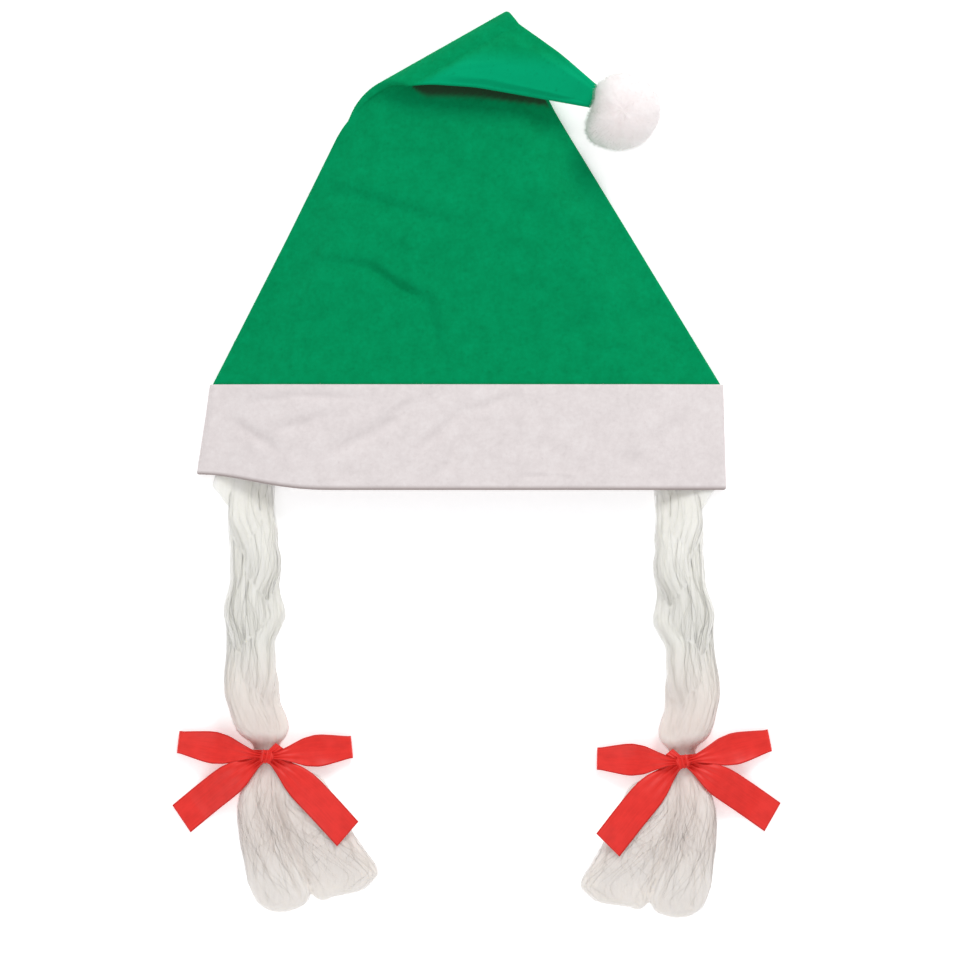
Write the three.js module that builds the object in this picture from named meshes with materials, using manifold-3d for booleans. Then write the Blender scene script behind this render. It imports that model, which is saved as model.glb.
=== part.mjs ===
// A felt Christmas hat with two hair braids, lying on its back with its tip folded over to the front.
// Millimetres. x runs to the hat's right as seen from above, y from the hem to the fold, z up from the floor.
import * as THREE from "three";
import { mergeVertices } from "three/addons/utils/BufferGeometryUtils.js";
import Module from "manifold-3d";

const wasm = await Module();
wasm.setup();

// Cloth and gaps
const felt_wall = 1.3;
const clearance = 0.35;
const side_radius = 2.2;

// Crown, measured with its tip unfolded
const crown_width = 279;
const crown_length = 264;
const crown_loft = 12;
const crown_tuck = 12;
const crown_settle = 26;

// Fold that turns the tip over to the front
const fold_radius = 3.2;
const fold_loft = 2;
const flap_loft = 3;
const flap_lift = 5;

// Band, a strip of felt doubled at the hem
const band_height = 58;
const band_flare_left = 7.2;
const band_flare_right = 1.6;
const hem_rise = 8.5;
const rim_gap = 0.6;

// Pompom
const pompom_diameter = 42;
const pompom_sink = 3;
const tuft_radius = 5.8;
const tuft_count = 34;

// Braids
const braid_length = 147.4;
const braid_width = 30.5;
const braid_depth = 18;
const braid_pitch = 168;
const strand_turn = 128;
const strand_swing = 0.34;
const strand_rise = 0.36;
const braid_root = 18;
const root_width = 25;
const root_run = 26;

// Tie and loose end below it
const neck_width = 15.4;
const neck_depth = 11;
const neck_length = 9;
const neck_offset = 8;
const neck_ease = 1.08;
const neck_fill = 0.92;
const neck_run = 9;
const tassel_length = 85.8;
const tassel_width = 78;
const tassel_depth = 16;
const fan_run = 12;

// Ribbon bow
const ribbon_width = 18;
const ribbon_thickness = 1;
const loop_length = 46.5;
const loop_height = 6;
const tail_length = 60;
const knot_width = 10;
const knot_height = 7;
const pinch_width = 6.5;

// Edges of the unfolded crown: rise in shares of its length, edges in shares of its half width
const crown_outline = [
  { rise: 0, left: -1, right: 1 },
  { rise: 0.3, left: -0.711, right: 0.656 },
  { rise: 0.528, left: -0.498, right: 0.393 },
  { rise: 0.553, left: -0.462, right: 0.365 },
  { rise: 0.578, left: -0.412, right: 0.338 },
  { rise: 0.605, left: -0.35, right: 0.314 },
  { rise: 0.64, left: -0.284, right: 0.283 },
  { rise: 0.689, left: -0.217, right: 0.239 },
  { rise: 0.775, left: -0.134, right: 0.17 },
  { rise: 0.891, left: -0.049, right: 0.152 },
  { rise: 1, left: 0.03, right: 0.117 },
];
const fold_left_rise = 0.548;
const fold_right_rise = 0.746;

// Soft dents of the crown's front: place and size in shares of the half width and the length, turn in degrees
const crown_dents = [
  { x: -0.43, rise: 0.39, reach: 0.3, breadth: 0.035, turn: -16, depth: 2.2 },
  { x: -0.24, rise: 0.17, reach: 0.24, breadth: 0.045, turn: -80, depth: 1.6 },
  { x: -0.42, rise: 0.63, reach: 0.4, breadth: 0.05, turn: -11, depth: 1.5 },
  { x: -0.66, rise: 0.25, reach: 0.2, breadth: 0.08, turn: 40, depth: 1.4 },
  { x: 0.16, rise: 0.47, reach: 0.16, breadth: 0.07, turn: 20, depth: 1.3 },
  { x: 0.3, rise: 0.34, reach: 0.14, breadth: 0.06, turn: -30, depth: 1.3 },
  { x: 0.46, rise: 0.58, reach: 0.14, breadth: 0.05, turn: 0, depth: 1.2 },
  { x: 0.6, rise: 0.13, reach: 0.2, breadth: 0.04, turn: 12, depth: 1.4 },
];

// Soft folds of the band's front: x in shares of its half width, y in shares of its height
const band_dents = [
  { x: -0.82, y: 0.52, reach: 0.13, breadth: 0.05, turn: -42, depth: 1.5 },
  { x: -0.62, y: 0.62, reach: 0.14, breadth: 0.04, turn: 24, depth: 1.2 },
  { x: -0.32, y: 0.55, reach: 0.2, breadth: 0.05, turn: 48, depth: 1.6 },
  { x: -0.04, y: 0.4, reach: 0.17, breadth: 0.04, turn: 66, depth: 1.4 },
  { x: 0.6, y: 0.28, reach: 0.1, breadth: 0.06, turn: 80, depth: 1.2 },
  { x: 0.86, y: 0.6, reach: 0.1, breadth: 0.05, turn: -50, depth: 1.2 },
];

// Where each braid starts: x in shares of the half width, y over the hem, and how far it leans outwards in
// degrees; the right one is a mirror image
const braid_places = [
  { name: "left", side: 1, x: -0.846, y: 1.2, lean: 0 },
  { name: "right", side: -1, x: 0.829, y: -1.4, lean: 4.4 },
];

// Outer and inner edge of the plaited strands: drop in shares of the braid's length, edges in half widths
const braid_edges = [
  { drop: 0, outer: -0.88, inner: 0.8 },
  { drop: 0.1, outer: -0.86, inner: 0.84 },
  { drop: 0.16, outer: -0.83, inner: 0.96 },
  { drop: 0.21, outer: -0.79, inner: 0.92 },
  { drop: 0.25, outer: -0.77, inner: 1.05 },
  { drop: 0.31, outer: -0.76, inner: 1.06 },
  { drop: 0.36, outer: -0.76, inner: 0.97 },
  { drop: 0.4, outer: -0.89, inner: 1.04 },
  { drop: 0.45, outer: -1, inner: 1.19 },
  { drop: 0.48, outer: -0.97, inner: 1.22 },
  { drop: 0.52, outer: -0.9, inner: 1.05 },
  { drop: 0.57, outer: -0.89, inner: 0.8 },
  { drop: 0.62, outer: -0.9, inner: 0.85 },
  { drop: 0.68, outer: -0.98, inner: 0.87 },
  { drop: 0.72, outer: -1, inner: 0.97 },
  { drop: 0.77, outer: -0.97, inner: 1 },
  { drop: 0.8, outer: -0.89, inner: 1.02 },
  { drop: 0.83, outer: -0.79, inner: 1.16 },
  { drop: 0.87, outer: -0.69, inner: 1.33 },
  { drop: 0.9, outer: -0.58, inner: 1.34 },
  { drop: 0.94, outer: -0.4, inner: 1.28 },
  { drop: 0.97, outer: -0.2, inner: 1.12 },
];

// Thin outer corner of the braid's flattened root, from inside the band: middle in shares of half the braid's width
const root_corner = [
  { drop: -0.07, middle: -1.02, breadth: 0.24 },
  { drop: -0.005, middle: -1.2, breadth: 0.27 },
  { drop: 0.013, middle: -1.03, breadth: 0.24 },
  { drop: 0.032, middle: -0.92, breadth: 0.23 },
  { drop: 0.05, middle: -0.82, breadth: 0.22 },
  { drop: 0.07, middle: -0.68, breadth: 0.2 },
  { drop: 0.09, middle: -0.55, breadth: 0.14 },
];
const root_corner_depth = 1.3;

// The two lobes of the loose end: drop from the tie in shares of its length, edges in shares of its width
const tassel_lobes = [
  [
    { drop: 0.124, outer: -0.019, inner: 0.167, depth: 0.84 },
    { drop: 0.217, outer: -0.077, inner: 0.16, depth: 0.95 },
    { drop: 0.322, outer: -0.103, inner: 0.167, depth: 1 },
    { drop: 0.438, outer: -0.097, inner: 0.213, depth: 1 },
    { drop: 0.555, outer: -0.081, inner: 0.256, depth: 0.97 },
    { drop: 0.683, outer: -0.049, inner: 0.308, depth: 0.91 },
    { drop: 0.8, outer: -0.028, inner: 0.372, depth: 0.8 },
    { drop: 0.875, outer: 0.004, inner: 0.413, depth: 0.7 },
    { drop: 0.949, outer: 0.044, inner: 0.39, depth: 0.55 },
    { drop: 0.985, outer: 0.103, inner: 0.308, depth: 0.4 },
    { drop: 1, outer: 0.154, inner: 0.244, depth: 0.25 },
  ],
  [
    { drop: 0.094, outer: 0.051, inner: 0.385, depth: 0.62 },
    { drop: 0.124, outer: 0.077, inner: 0.481, depth: 0.72 },
    { drop: 0.182, outer: 0.103, inner: 0.526, depth: 0.82 },
    { drop: 0.263, outer: 0.128, inner: 0.576, depth: 0.9 },
    { drop: 0.38, outer: 0.167, inner: 0.645, depth: 0.9 },
    { drop: 0.508, outer: 0.224, inner: 0.718, depth: 0.86 },
    { drop: 0.613, outer: 0.263, inner: 0.801, depth: 0.78 },
    { drop: 0.695, outer: 0.295, inner: 0.872, depth: 0.68 },
    { drop: 0.759, outer: 0.327, inner: 0.9, depth: 0.58 },
    { drop: 0.794, outer: 0.353, inner: 0.859, depth: 0.52 },
    { drop: 0.843, outer: 0.378, inner: 0.812, depth: 0.46 },
    { drop: 0.875, outer: 0.404, inner: 0.745, depth: 0.4 },
    { drop: 0.904, outer: 0.436, inner: 0.558, depth: 0.32 },
    { drop: 0.931, outer: 0.481, inner: 0.519, depth: 0.2 },
  ],
];

// The bow's strips, seen from above on the left braid: turn in degrees from the inward side, length in shares
const bow_loops = [
  { turn: 171, length: 1.02 },
  { turn: 6, length: 0.98 },
];
const bow_tails = [
  { turn: 216.5, length: 0.97 },
  { turn: -43.5, length: 1.03 },
];

// Steps that the curved faces are cut into
const front_steps = 14;
const back_steps = 6;
const turn_steps = 3;
const body_rows = 10;
const roll_rows = 6;
const flap_rows = 8;
const band_rows = 5;
const strand_sides = 8;
const lobe_sides = 10;
const strand_rows = 22;
const strip_rows = 10;
const wrap_sides = 14;
const knot_sides = 8;

const half_crown = crown_width / 2;
const cover = clearance + felt_wall;
const edge_thickness = 2 * side_radius;
const fold_plane = edge_thickness + fold_loft;

const green_felt = new THREE.MeshStandardMaterial({ color: 0x00915a, roughness: 0.95 });
const white_felt = new THREE.MeshStandardMaterial({ color: 0xe6dedd, roughness: 0.95 });
const white_pile = new THREE.MeshStandardMaterial({ color: 0xf2efef, roughness: 1 });
const white_fibre = new THREE.MeshStandardMaterial({ color: 0xe4e2dd, roughness: 0.8 });
const red_satin = new THREE.MeshStandardMaterial({ color: 0xe23a30, roughness: 0.4 });

const clamp = THREE.MathUtils.clamp;
const lerp = THREE.MathUtils.lerp;
const smooth = THREE.MathUtils.smoothstep;
const radians = THREE.MathUtils.degToRad;

/** The value of one named column at a place along a table's key column, with straight lines between rows. */
function along(table, key, at, column) {
  const last = table.length - 1;
  if (at <= table[0][key]) return table[0][column];
  if (at >= table[last][key]) return table[last][column];
  const i = table.findIndex((row) => row[key] > at);
  const share = (at - table[i - 1][key]) / (table[i][key] - table[i - 1][key]);
  return lerp(table[i - 1][column], table[i][column], share);
}

/** A closed surface through rings of points, either joined end to end or capped. */
function skin(rings, joined = false) {
  const across = rings[0].length;
  const points = rings.flat();
  const faces = [];
  const steps = joined ? rings.length : rings.length - 1;
  for (let i = 0; i < steps; i++) {
    const here = i * across;
    const next = ((i + 1) % rings.length) * across;
    for (let j = 0; j < across; j++) {
      const k = (j + 1) % across;
      faces.push([here + j, next + j, next + k], [here + j, next + k, here + k]);
    }
  }
  if (!joined) {
    for (const [ring, first, flip] of [[rings[0], 0, 0], [rings.at(-1), points.length - across, 1]]) {
      const hub = points.length;
      points.push(ring.reduce((sum, p) => sum.add(p), new THREE.Vector3()).divideScalar(across));
      for (let j = 0; j < across; j++) {
        const pair = [first + j, first + ((j + 1) % across)];
        faces.push(flip ? [hub, pair[1], pair[0]] : [hub, pair[0], pair[1]]);
      }
    }
  }
  return facingOut(points, faces);
}

/** A geometry of the faces, turned round if they enclose a negative volume. */
function facingOut(points, faces) {
  const volume = faces.reduce((sum, [a, b, c]) => {
    const normal = new THREE.Vector3().crossVectors(points[b], points[c]);
    return sum + points[a].dot(normal);
  }, 0);
  const order = volume < 0 ? faces.map(([a, b, c]) => [a, c, b]) : faces;
  return new THREE.BufferGeometry().setFromPoints(points).setIndex(order.flat());
}

/** The geometry as a solid that can be joined and cut. */
function solidOf(geometry) {
  const bare = geometry.clone();
  bare.deleteAttribute("normal");
  bare.deleteAttribute("uv");
  const merged = mergeVertices(bare, 1e-4);
  const vertProperties = merged.getAttribute("position").array;
  const triVerts = new Uint32Array(merged.index.array);
  return new wasm.Manifold(new wasm.Mesh({ numProp: 3, vertProperties, triVerts }));
}

/** The geometry of a solid that has been joined and cut. */
function geometryOf(solid) {
  const { vertProperties, triVerts } = solid.getMesh();
  return new THREE.BufferGeometry()
    .setAttribute("position", new THREE.BufferAttribute(vertProperties, 3))
    .setIndex(new THREE.BufferAttribute(triVerts, 1));
}

/** The solids of several geometries joined into one. */
function joined(geometries) {
  return geometries.map(solidOf).reduce((whole, piece) => whole.add(piece));
}

function mesh(name, geometry, material) {
  const made = new THREE.Mesh(geometry, material);
  made.name = name;
  return made;
}

/** How deep the dents of a table are at a place given in the table's own shares. */
function dentDepth(table, x, y, yColumn, yScale) {
  return table.reduce((sum, dent) => {
    const dx = x - dent.x;
    const dy = (y - dent[yColumn]) * yScale;
    const c = Math.cos(radians(dent.turn));
    const s = Math.sin(radians(dent.turn));
    const far = (dx * c + dy * s) / dent.reach;
    const off = (dy * c - dx * s) / dent.breadth;
    return sum + dent.depth * Math.exp(-far * far - off * off);
  }, 0);
}

/** Left and right edges of the crown at a height over the band's upper edge; inside the band they flare. */
function crownEdges(rise) {
  const share = rise / crown_length;
  const inside = clamp(-rise / band_height, 0, 1);
  return {
    left: half_crown * along(crown_outline, "rise", share, "left") - band_flare_left * inside,
    right: half_crown * along(crown_outline, "rise", share, "right") + band_flare_right * inside,
  };
}

/** A point on the crown's left or right edge. */
function edgePoint(side, rise) {
  return new THREE.Vector2(crownEdges(rise)[side], band_height + rise);
}

const foldStart = edgePoint("left", fold_left_rise * crown_length);
const foldEnd = edgePoint("right", fold_right_rise * crown_length);
const foldAlong = foldEnd.clone().sub(foldStart).normalize();
const foldPast = new THREE.Vector2(-foldAlong.y, foldAlong.x);

/** How far a point lies past the line where the fold begins. */
function pastFold(point) {
  return (point.x - foldStart.x) * foldPast.x + (point.y - foldStart.y) * foldPast.y;
}

/** The rise at which an edge of the crown is a given distance past the fold line. */
function riseAtFold(side, distance) {
  let low = 0;
  let high = crown_length;
  for (let i = 0; i < 40; i++) {
    const middle = (low + high) / 2;
    if (pastFold(edgePoint(side, middle)) < distance) low = middle;
    else high = middle;
  }
  return low;
}

const flapStart = Math.PI * fold_radius;
const tipPast = pastFold(edgePoint("left", crown_length));

/** A point of the unfolded crown where it comes to lie once the tip is rolled over to the front. */
function folded(point) {
  const past = pastFold(point);
  if (past <= 0) return point;
  const sideways = new THREE.Vector2(point.x, point.y).sub(foldStart).dot(foldAlong);
  const turn = Math.min(past / fold_radius, Math.PI);
  const beyond = Math.max(0, past - flapStart);
  const arm = fold_radius - (point.z - fold_plane);
  const reach = arm * Math.sin(turn) - beyond;
  const share = beyond / (tipPast - flapStart);
  const lift = flap_lift * Math.sin(Math.PI * clamp(share, 0, 1) ** 0.7);
  return new THREE.Vector3(
    foldStart.x + foldAlong.x * sideways + foldPast.x * reach,
    foldStart.y + foldAlong.y * sideways + foldPast.y * reach,
    fold_plane + fold_radius - arm * Math.cos(turn) + lift,
  );
}

/** How much of the loft the cloth has at a place across the hat, from -1 at the left edge to 1 at the right. */
function loftShape(across) {
  return smooth(1 - Math.abs(across), 0, 0.34);
}

/**
 * One ring round the flat hat, across a row from a left point to a right one. The row says how high the ring
 * stands and how far its front and back bulge. A positive offset moves it outwards from the crown's outer face.
 */
function ringAcross(row, offset) {
  const { left, right, floor, front, back, dents } = row;
  const half = left.distanceTo(right) / 2;
  const middle = left.clone().add(right).divideScalar(2);
  const away = right.clone().sub(left).normalize();
  const ring = [];
  const put = (sideways, z) => {
    ring.push(new THREE.Vector3(middle.x + away.x * sideways, middle.y + away.y * sideways, z));
  };
  const flat = half - side_radius;
  const radius = side_radius + offset;
  for (let i = 0; i <= back_steps; i++) {
    const across = (2 * i) / back_steps - 1;
    put(flat * across, floor - offset - back * loftShape(across));
  }
  for (let i = 1; i < turn_steps; i++) {
    const turn = (Math.PI * i) / turn_steps - Math.PI / 2;
    put(flat + radius * Math.cos(turn), floor + side_radius + radius * Math.sin(turn));
  }
  for (let i = 0; i <= front_steps; i++) {
    const across = 1 - (2 * i) / front_steps;
    const x = middle.x + away.x * flat * across;
    const y = middle.y + away.y * flat * across;
    const dent = dents(x, y) * smooth(1 - Math.abs(across), 0, 0.2);
    put(flat * across, floor + edge_thickness + offset + front * loftShape(across) - dent);
  }
  for (let i = 1; i < turn_steps; i++) {
    const turn = (Math.PI * i) / turn_steps + Math.PI / 2;
    put(-flat + radius * Math.cos(turn), floor + side_radius + radius * Math.sin(turn));
  }
  return ring;
}

/** How high the crown's back lies over the floor: on the band's back at the band, on the floor above it. */
function crownFloor(rise) {
  return cover * (1 - smooth(rise, 0, crown_settle));
}

/** Loft of the crown's front between the hem and the fold. */
function bodyLoft(share) {
  return lerp(crown_loft, fold_loft, smooth(share, 0.45, 1));
}

function crownDents(x, y) {
  const rise = y - band_height;
  const fade = smooth(rise, 2, 18);
  return fade * dentDepth(crown_dents, x / half_crown, rise / crown_length, "rise", crown_length / half_crown);
}

/** The rows that the crown is drawn across, from its edge inside the band to its tip. */
function crownRows() {
  const rows = [];
  const add = (leftRise, rightRise, front, back, dents) => {
    const left = edgePoint("left", leftRise);
    const right = edgePoint("right", rightRise);
    rows.push({ left, right, floor: crownFloor((leftRise + rightRise) / 2), front, back, dents });
  };
  const none = () => 0;
  const leftFold = fold_left_rise * crown_length;
  const rightFold = fold_right_rise * crown_length;
  add(-crown_tuck, -crown_tuck, crown_loft, 0, none);
  for (let i = 0; i < body_rows; i++) {
    const share = i / body_rows;
    const dented = (x, y) => crownDents(x, y) * (1 - smooth(share, 0.75, 1));
    add(leftFold * share, rightFold * share, bodyLoft(share), 0, dented);
  }
  for (let i = 0; i <= roll_rows; i++) {
    const distance = (flapStart * i) / roll_rows;
    add(riseAtFold("left", distance), riseAtFold("right", distance), fold_loft, 0, none);
  }
  const leftFlap = riseAtFold("left", flapStart);
  const rightFlap = riseAtFold("right", flapStart);
  for (let i = 1; i <= flap_rows; i++) {
    const share = i / flap_rows;
    const puff = flap_loft * Math.sin(Math.PI * share ** 0.8);
    const rise = (from) => lerp(from, crown_length, share);
    add(rise(leftFlap), rise(rightFlap), fold_loft * (1 - share), puff, none);
  }
  return rows;
}

/** The crown: a felt bag, open at the band and closed at the tip. */
function crown() {
  const rows = crownRows();
  const outer = rows.map((row) => ringAcross(row, 0).map(folded));
  const inner = rows.slice(0, -1).map((row) => ringAcross(row, -felt_wall).map(folded));
  return skin([...inner.reverse(), ...outer]);
}

/** How far the hem lies above the band's lowest line, at a place across the hat. */
function hemAt(x) {
  return hem_rise * (1 - smooth(x / half_crown, -1.05, -0.5)) ** 1.5;
}

/** The share of the band's height at which its inner layer ends, just below the crown's edge. */
const ledge = 1 - (crown_tuck + rim_gap) / band_height;

/** One ring of the band at a share of its height, with its hem following the hem's line. */
function bandRing(share, offset) {
  const y = share * band_height;
  const edges = crownEdges(y - band_height);
  const left = new THREE.Vector2(edges.left, y);
  const right = new THREE.Vector2(edges.right, y);
  const dents = (x) =>
    (1 - smooth(share, 0.43, 0.78)) *
    dentDepth(band_dents, x / half_crown, share, "y", band_height / half_crown);
  const ring = ringAcross({ left, right, floor: cover, front: crown_loft, back: 0, dents }, offset);
  return ring.map((p) => p.setY(p.y + hemAt(p.x) * Math.max(0, 1 - share / ledge)));
}

/** The band: two layers of felt joined at the hem, the outer one reaching up over the crown's edge. */
function band() {
  const rings = [];
  for (let i = 0; i <= band_rows; i++) rings.push(bandRing((ledge * i) / band_rows, cover));
  rings.push(bandRing(1, cover), bandRing(1, clearance), bandRing(ledge, clearance));
  for (let i = band_rows; i >= 0; i--) rings.push(bandRing((ledge * i) / band_rows, -felt_wall));
  return skin(rings, true);
}

/** Where the crown's tip ends, the direction that it points in, and its last rings at an offset. */
function crownTip(offset) {
  const rows = crownRows().slice(-4);
  const [before, last] = rows.slice(-2).map((row) => {
    const middle = row.left.clone().add(row.right).divideScalar(2);
    return folded(new THREE.Vector3(middle.x, middle.y, side_radius));
  });
  const towards = last.clone().sub(before).setZ(0).normalize();
  return { place: last, towards, rings: rows.map((row) => ringAcross(row, offset).map(folded)) };
}

/** The pompom: tufts on a head, with a slot where the crown's tip is sewn in. */
function pompom() {
  const radius = pompom_diameter / 2;
  const tuftOut = radius - tuft_radius;
  const head = new THREE.IcosahedronGeometry(radius - tuft_radius / 2, 2);
  const tufts = Array.from({ length: tuft_count }, (_, i) => {
    const height = 1 - (2 * i + 1) / tuft_count;
    const round = Math.sqrt(1 - height * height);
    const turn = i * Math.PI * (3 - Math.sqrt(5));
    const tuft = new THREE.IcosahedronGeometry(tuft_radius, 0);
    tuft.rotateX(turn);
    return tuft.translate(tuftOut * round * Math.cos(turn), tuftOut * round * Math.sin(turn), tuftOut * height);
  });
  const ball = joined([head, ...tufts]);
  const { place, towards, rings } = crownTip(clearance);
  const centre = place.clone().addScaledVector(towards, radius - pompom_sink);
  centre.setZ(-ball.boundingBox().min[2]);
  const end = rings.at(-1).map((p) => p.clone().addScaledVector(towards, clearance));
  const slot = solidOf(skin([...rings, end]));
  return geometryOf(ball.translate([centre.x, centre.y, centre.z]).subtract(slot));
}

/** How high the band's front lies at a place across its mouth, on its inside. */
function mouthRoof(x, y) {
  const edges = crownEdges(-band_height);
  const middle = (edges.left + edges.right) / 2;
  const flat = (edges.right - edges.left) / 2 - side_radius;
  const dent = dentDepth(band_dents, x / half_crown, y / band_height, "y", band_height / half_crown);
  return cover + edge_thickness - felt_wall + crown_loft * loftShape((x - middle) / flat) - dent;
}

/** The floor and the lowest roof of the room in the band's mouth that a braid's root takes up. */
function rootRoom(x) {
  const roofs = [0, 0.5, 1].flatMap((depth) =>
    [-0.55, -0.25, 0, 0.25, 0.55].map((across) => mouthRoof(x + across * root_width, depth * braid_root)),
  );
  return { floor: cover + felt_wall, roof: Math.min(...roofs) };
}

/** A section of fibre: where its middle is and its half sizes. */
function section(drop, u, z, halfWidth, halfDepth) {
  return { drop, u, z, halfWidth, halfDepth };
}

/** Outer and inner edge of a braid at a drop from the hem, from its root to the tie. */
function braidSpan(drop) {
  const fromRoot = smooth(drop, 2, root_run);
  const tied = smooth(drop, braid_length - neck_length / 2 - neck_run, braid_length - neck_length / 2);
  const share = drop / braid_length;
  const edge = (column, side) => {
    const free = (along(braid_edges, "drop", share, column) * braid_width) / 2;
    const neck = neck_offset + (side * neck_width * neck_fill) / 2;
    return lerp(lerp((side * root_width) / 2, free, fromRoot), neck, tied);
  };
  return { outer: edge("outer", -1), inner: edge("inner", 1), fromRoot, tied };
}

/**
 * The three strands of a braid as sections, in the braid's own frame: u towards the hat's middle and drop down
 * from the hem. The root lies between the band's layers. Together the strands reach from edge to edge.
 */
function braidStrands(x) {
  const room = rootRoom(x);
  const rootHalf = (room.roof - room.floor) / 2 - clearance;
  const rootFloor = room.floor + clearance;
  const neckTop = braid_length - neck_length / 2;
  const lift = ribbon_thickness + clearance;
  const strands = [[], [], []];
  for (let i = 0; i <= strand_rows; i++) {
    const end = braid_length + neck_length / 2;
    const drop = i < strand_rows ? lerp(-braid_root, neckTop, i / (strand_rows - 1)) : end;
    const { outer, inner, fromRoot, tied } = braidSpan(drop);
    const halfDepth = lerp(lerp(rootHalf, braid_depth / 2, fromRoot), (neck_depth * neck_fill) / 2, tied);
    const floor = rootFloor * (1 - smooth(drop, 2, root_run)) + lift * tied;
    const turns = strands.map((_, strand) => {
      return (2 * Math.PI * (drop - braid_length)) / braid_pitch + radians(strand_turn + 120 * strand);
    });
    const swings = turns.map((turn) => strand_swing * Math.sin(turn));
    const low = Math.min(...swings) - (1 - strand_swing);
    const high = Math.max(...swings) + (1 - strand_swing);
    const scale = (inner - outer) / (high - low);
    strands.forEach((rows, strand) => {
      const z = floor + halfDepth * (1 - strand_rise * Math.sin(2 * turns[strand]));
      const u = outer + (swings[strand] - low) * scale;
      rows.push(section(drop, u, z, (1 - strand_swing) * scale, (1 - strand_rise) * halfDepth));
    });
  }
  return strands;
}

/** The thin outer corner of a braid's root as sections. */
function rootCorner() {
  return root_corner.map(({ drop, middle, breadth }) => {
    const z = cover + felt_wall + clearance + root_corner_depth / 2;
    const half = braid_width / 2;
    return section(drop * braid_length, middle * half, z, breadth * half, root_corner_depth / 2);
  });
}

/** One lobe of the loose end as sections, from inside the tie to its rounded end. */
function tasselLobe(rows) {
  const tieEnd = braid_length + neck_length / 2;
  const middle = ribbon_thickness + clearance + neck_depth / 2;
  const tied = (drop) => {
    return section(drop, neck_offset, middle, (neck_width * neck_fill) / 2, (neck_depth * neck_fill) / 2);
  };
  const free = rows.map(({ drop, outer, inner, depth }) => {
    const freed = smooth(drop * tassel_length, neck_length / 2, neck_length / 2 + fan_run);
    const halfDepth = (depth * tassel_depth) / 2;
    return section(
      braid_length + drop * tassel_length,
      ((outer + inner) / 2) * tassel_width,
      lerp(middle, halfDepth, freed),
      ((inner - outer) / 2) * tassel_width,
      lerp(Math.min(halfDepth, (neck_depth * neck_fill) / 2), halfDepth, freed),
    );
  });
  return [tied(braid_length), tied(tieEnd), ...free];
}

/** The height of the fibre's upper face over the floor at a place in the braid's own frame. */
function fibreTop(bundles, u, drop) {
  return bundles.reduce((top, rows) => {
    if (drop < rows[0].drop || drop > rows.at(-1).drop) return top;
    const at = (column) => along(rows, "drop", drop, column);
    const off = (u - at("u")) / at("halfWidth");
    return Math.abs(off) < 1 ? Math.max(top, at("z") + at("halfDepth") * Math.sqrt(1 - off * off)) : top;
  }, 0);
}

/** Puts a point of a braid's own frame into the hat's frame. */
function placer({ side, x, y, lean }) {
  const c = Math.cos(radians(lean));
  const s = Math.sin(radians(lean));
  const start = x * half_crown;
  return (u, drop, z) => new THREE.Vector3(start + side * u * c + drop * s, y + side * u * s - drop * c, z);
}

/** A bundle of fibre as a solid skin round its sections. */
function bundleSkin(rows, sides, place) {
  return skin(
    rows.map((row) =>
      Array.from({ length: sides }, (_, i) => {
        const turn = (2 * Math.PI * i) / sides + Math.PI / 2;
        const u = row.u + row.halfWidth * Math.cos(turn);
        return place(u, row.drop, row.z + row.halfDepth * Math.sin(turn));
      }),
    ),
  );
}

/** A strip of ribbon through stations, each with a middle, a direction across and a width. */
function strip(stations, place) {
  const thick = ribbon_thickness / 2;
  return skin(
    stations.map(({ u, drop, z, acrossU, acrossDrop, width, upU, upDrop, upZ }) =>
      [[-1, -1], [1, -1], [1, 1], [-1, 1]].map(([side, up]) =>
        place(
          u + (acrossU * side * width) / 2 + upU * up * thick,
          drop + (acrossDrop * side * width) / 2 + upDrop * up * thick,
          z + upZ * up * thick,
        ),
      ),
    ),
  );
}

/** Stations of a strip that leaves the knot at a turn, from its distances and heights. */
function stationsAt(turn, path) {
  const c = Math.cos(radians(turn));
  const s = -Math.sin(radians(turn));
  return path.map(([distance, z, width], i) => {
    const before = path[Math.max(i - 1, 0)];
    const after = path[Math.min(i + 1, path.length - 1)];
    const run = after[0] - before[0];
    const climb = after[1] - before[1];
    const long = Math.hypot(run, climb);
    return {
      u: neck_offset + c * distance,
      drop: braid_length + s * distance,
      z,
      acrossU: -s,
      acrossDrop: c,
      width,
      upU: (-climb / long) * c,
      upDrop: (-climb / long) * s,
      upZ: run / long,
    };
  });
}

/** The lowest heights at which a strip of ribbon lies on the fibre and the floor, falling no steeper than it can. */
function draped(bundles, turn, distances, widths, start) {
  const c = Math.cos(radians(turn));
  const s = -Math.sin(radians(turn));
  const step = distances[1] - distances[0];
  const rest = distances.map((distance, i) => {
    const tops = [-0.5, -0.25, 0, 0.25, 0.5].flatMap((share) =>
      [-1, -0.5, 0, 0.5, 1].map((ahead) => {
        const far = distance + ahead * step;
        const off = share * widths[i];
        return fibreTop(bundles, neck_offset + c * far - s * off, braid_length + s * far + c * off);
      }),
    );
    const top = Math.max(...tops);
    return top > 0 ? top + clearance + ribbon_thickness : ribbon_thickness / 2;
  });
  rest[0] = start;
  for (let i = 1; i < rest.length; i++) {
    rest[i] = Math.max(rest[i], rest[i - 1] - 0.55 * (distances[i] - distances[i - 1]));
  }
  for (let i = rest.length - 2; i >= 1; i--) {
    rest[i] = Math.max(rest[i], rest[i + 1] - 0.9 * (distances[i + 1] - distances[i]));
  }
  return rest;
}

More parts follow.
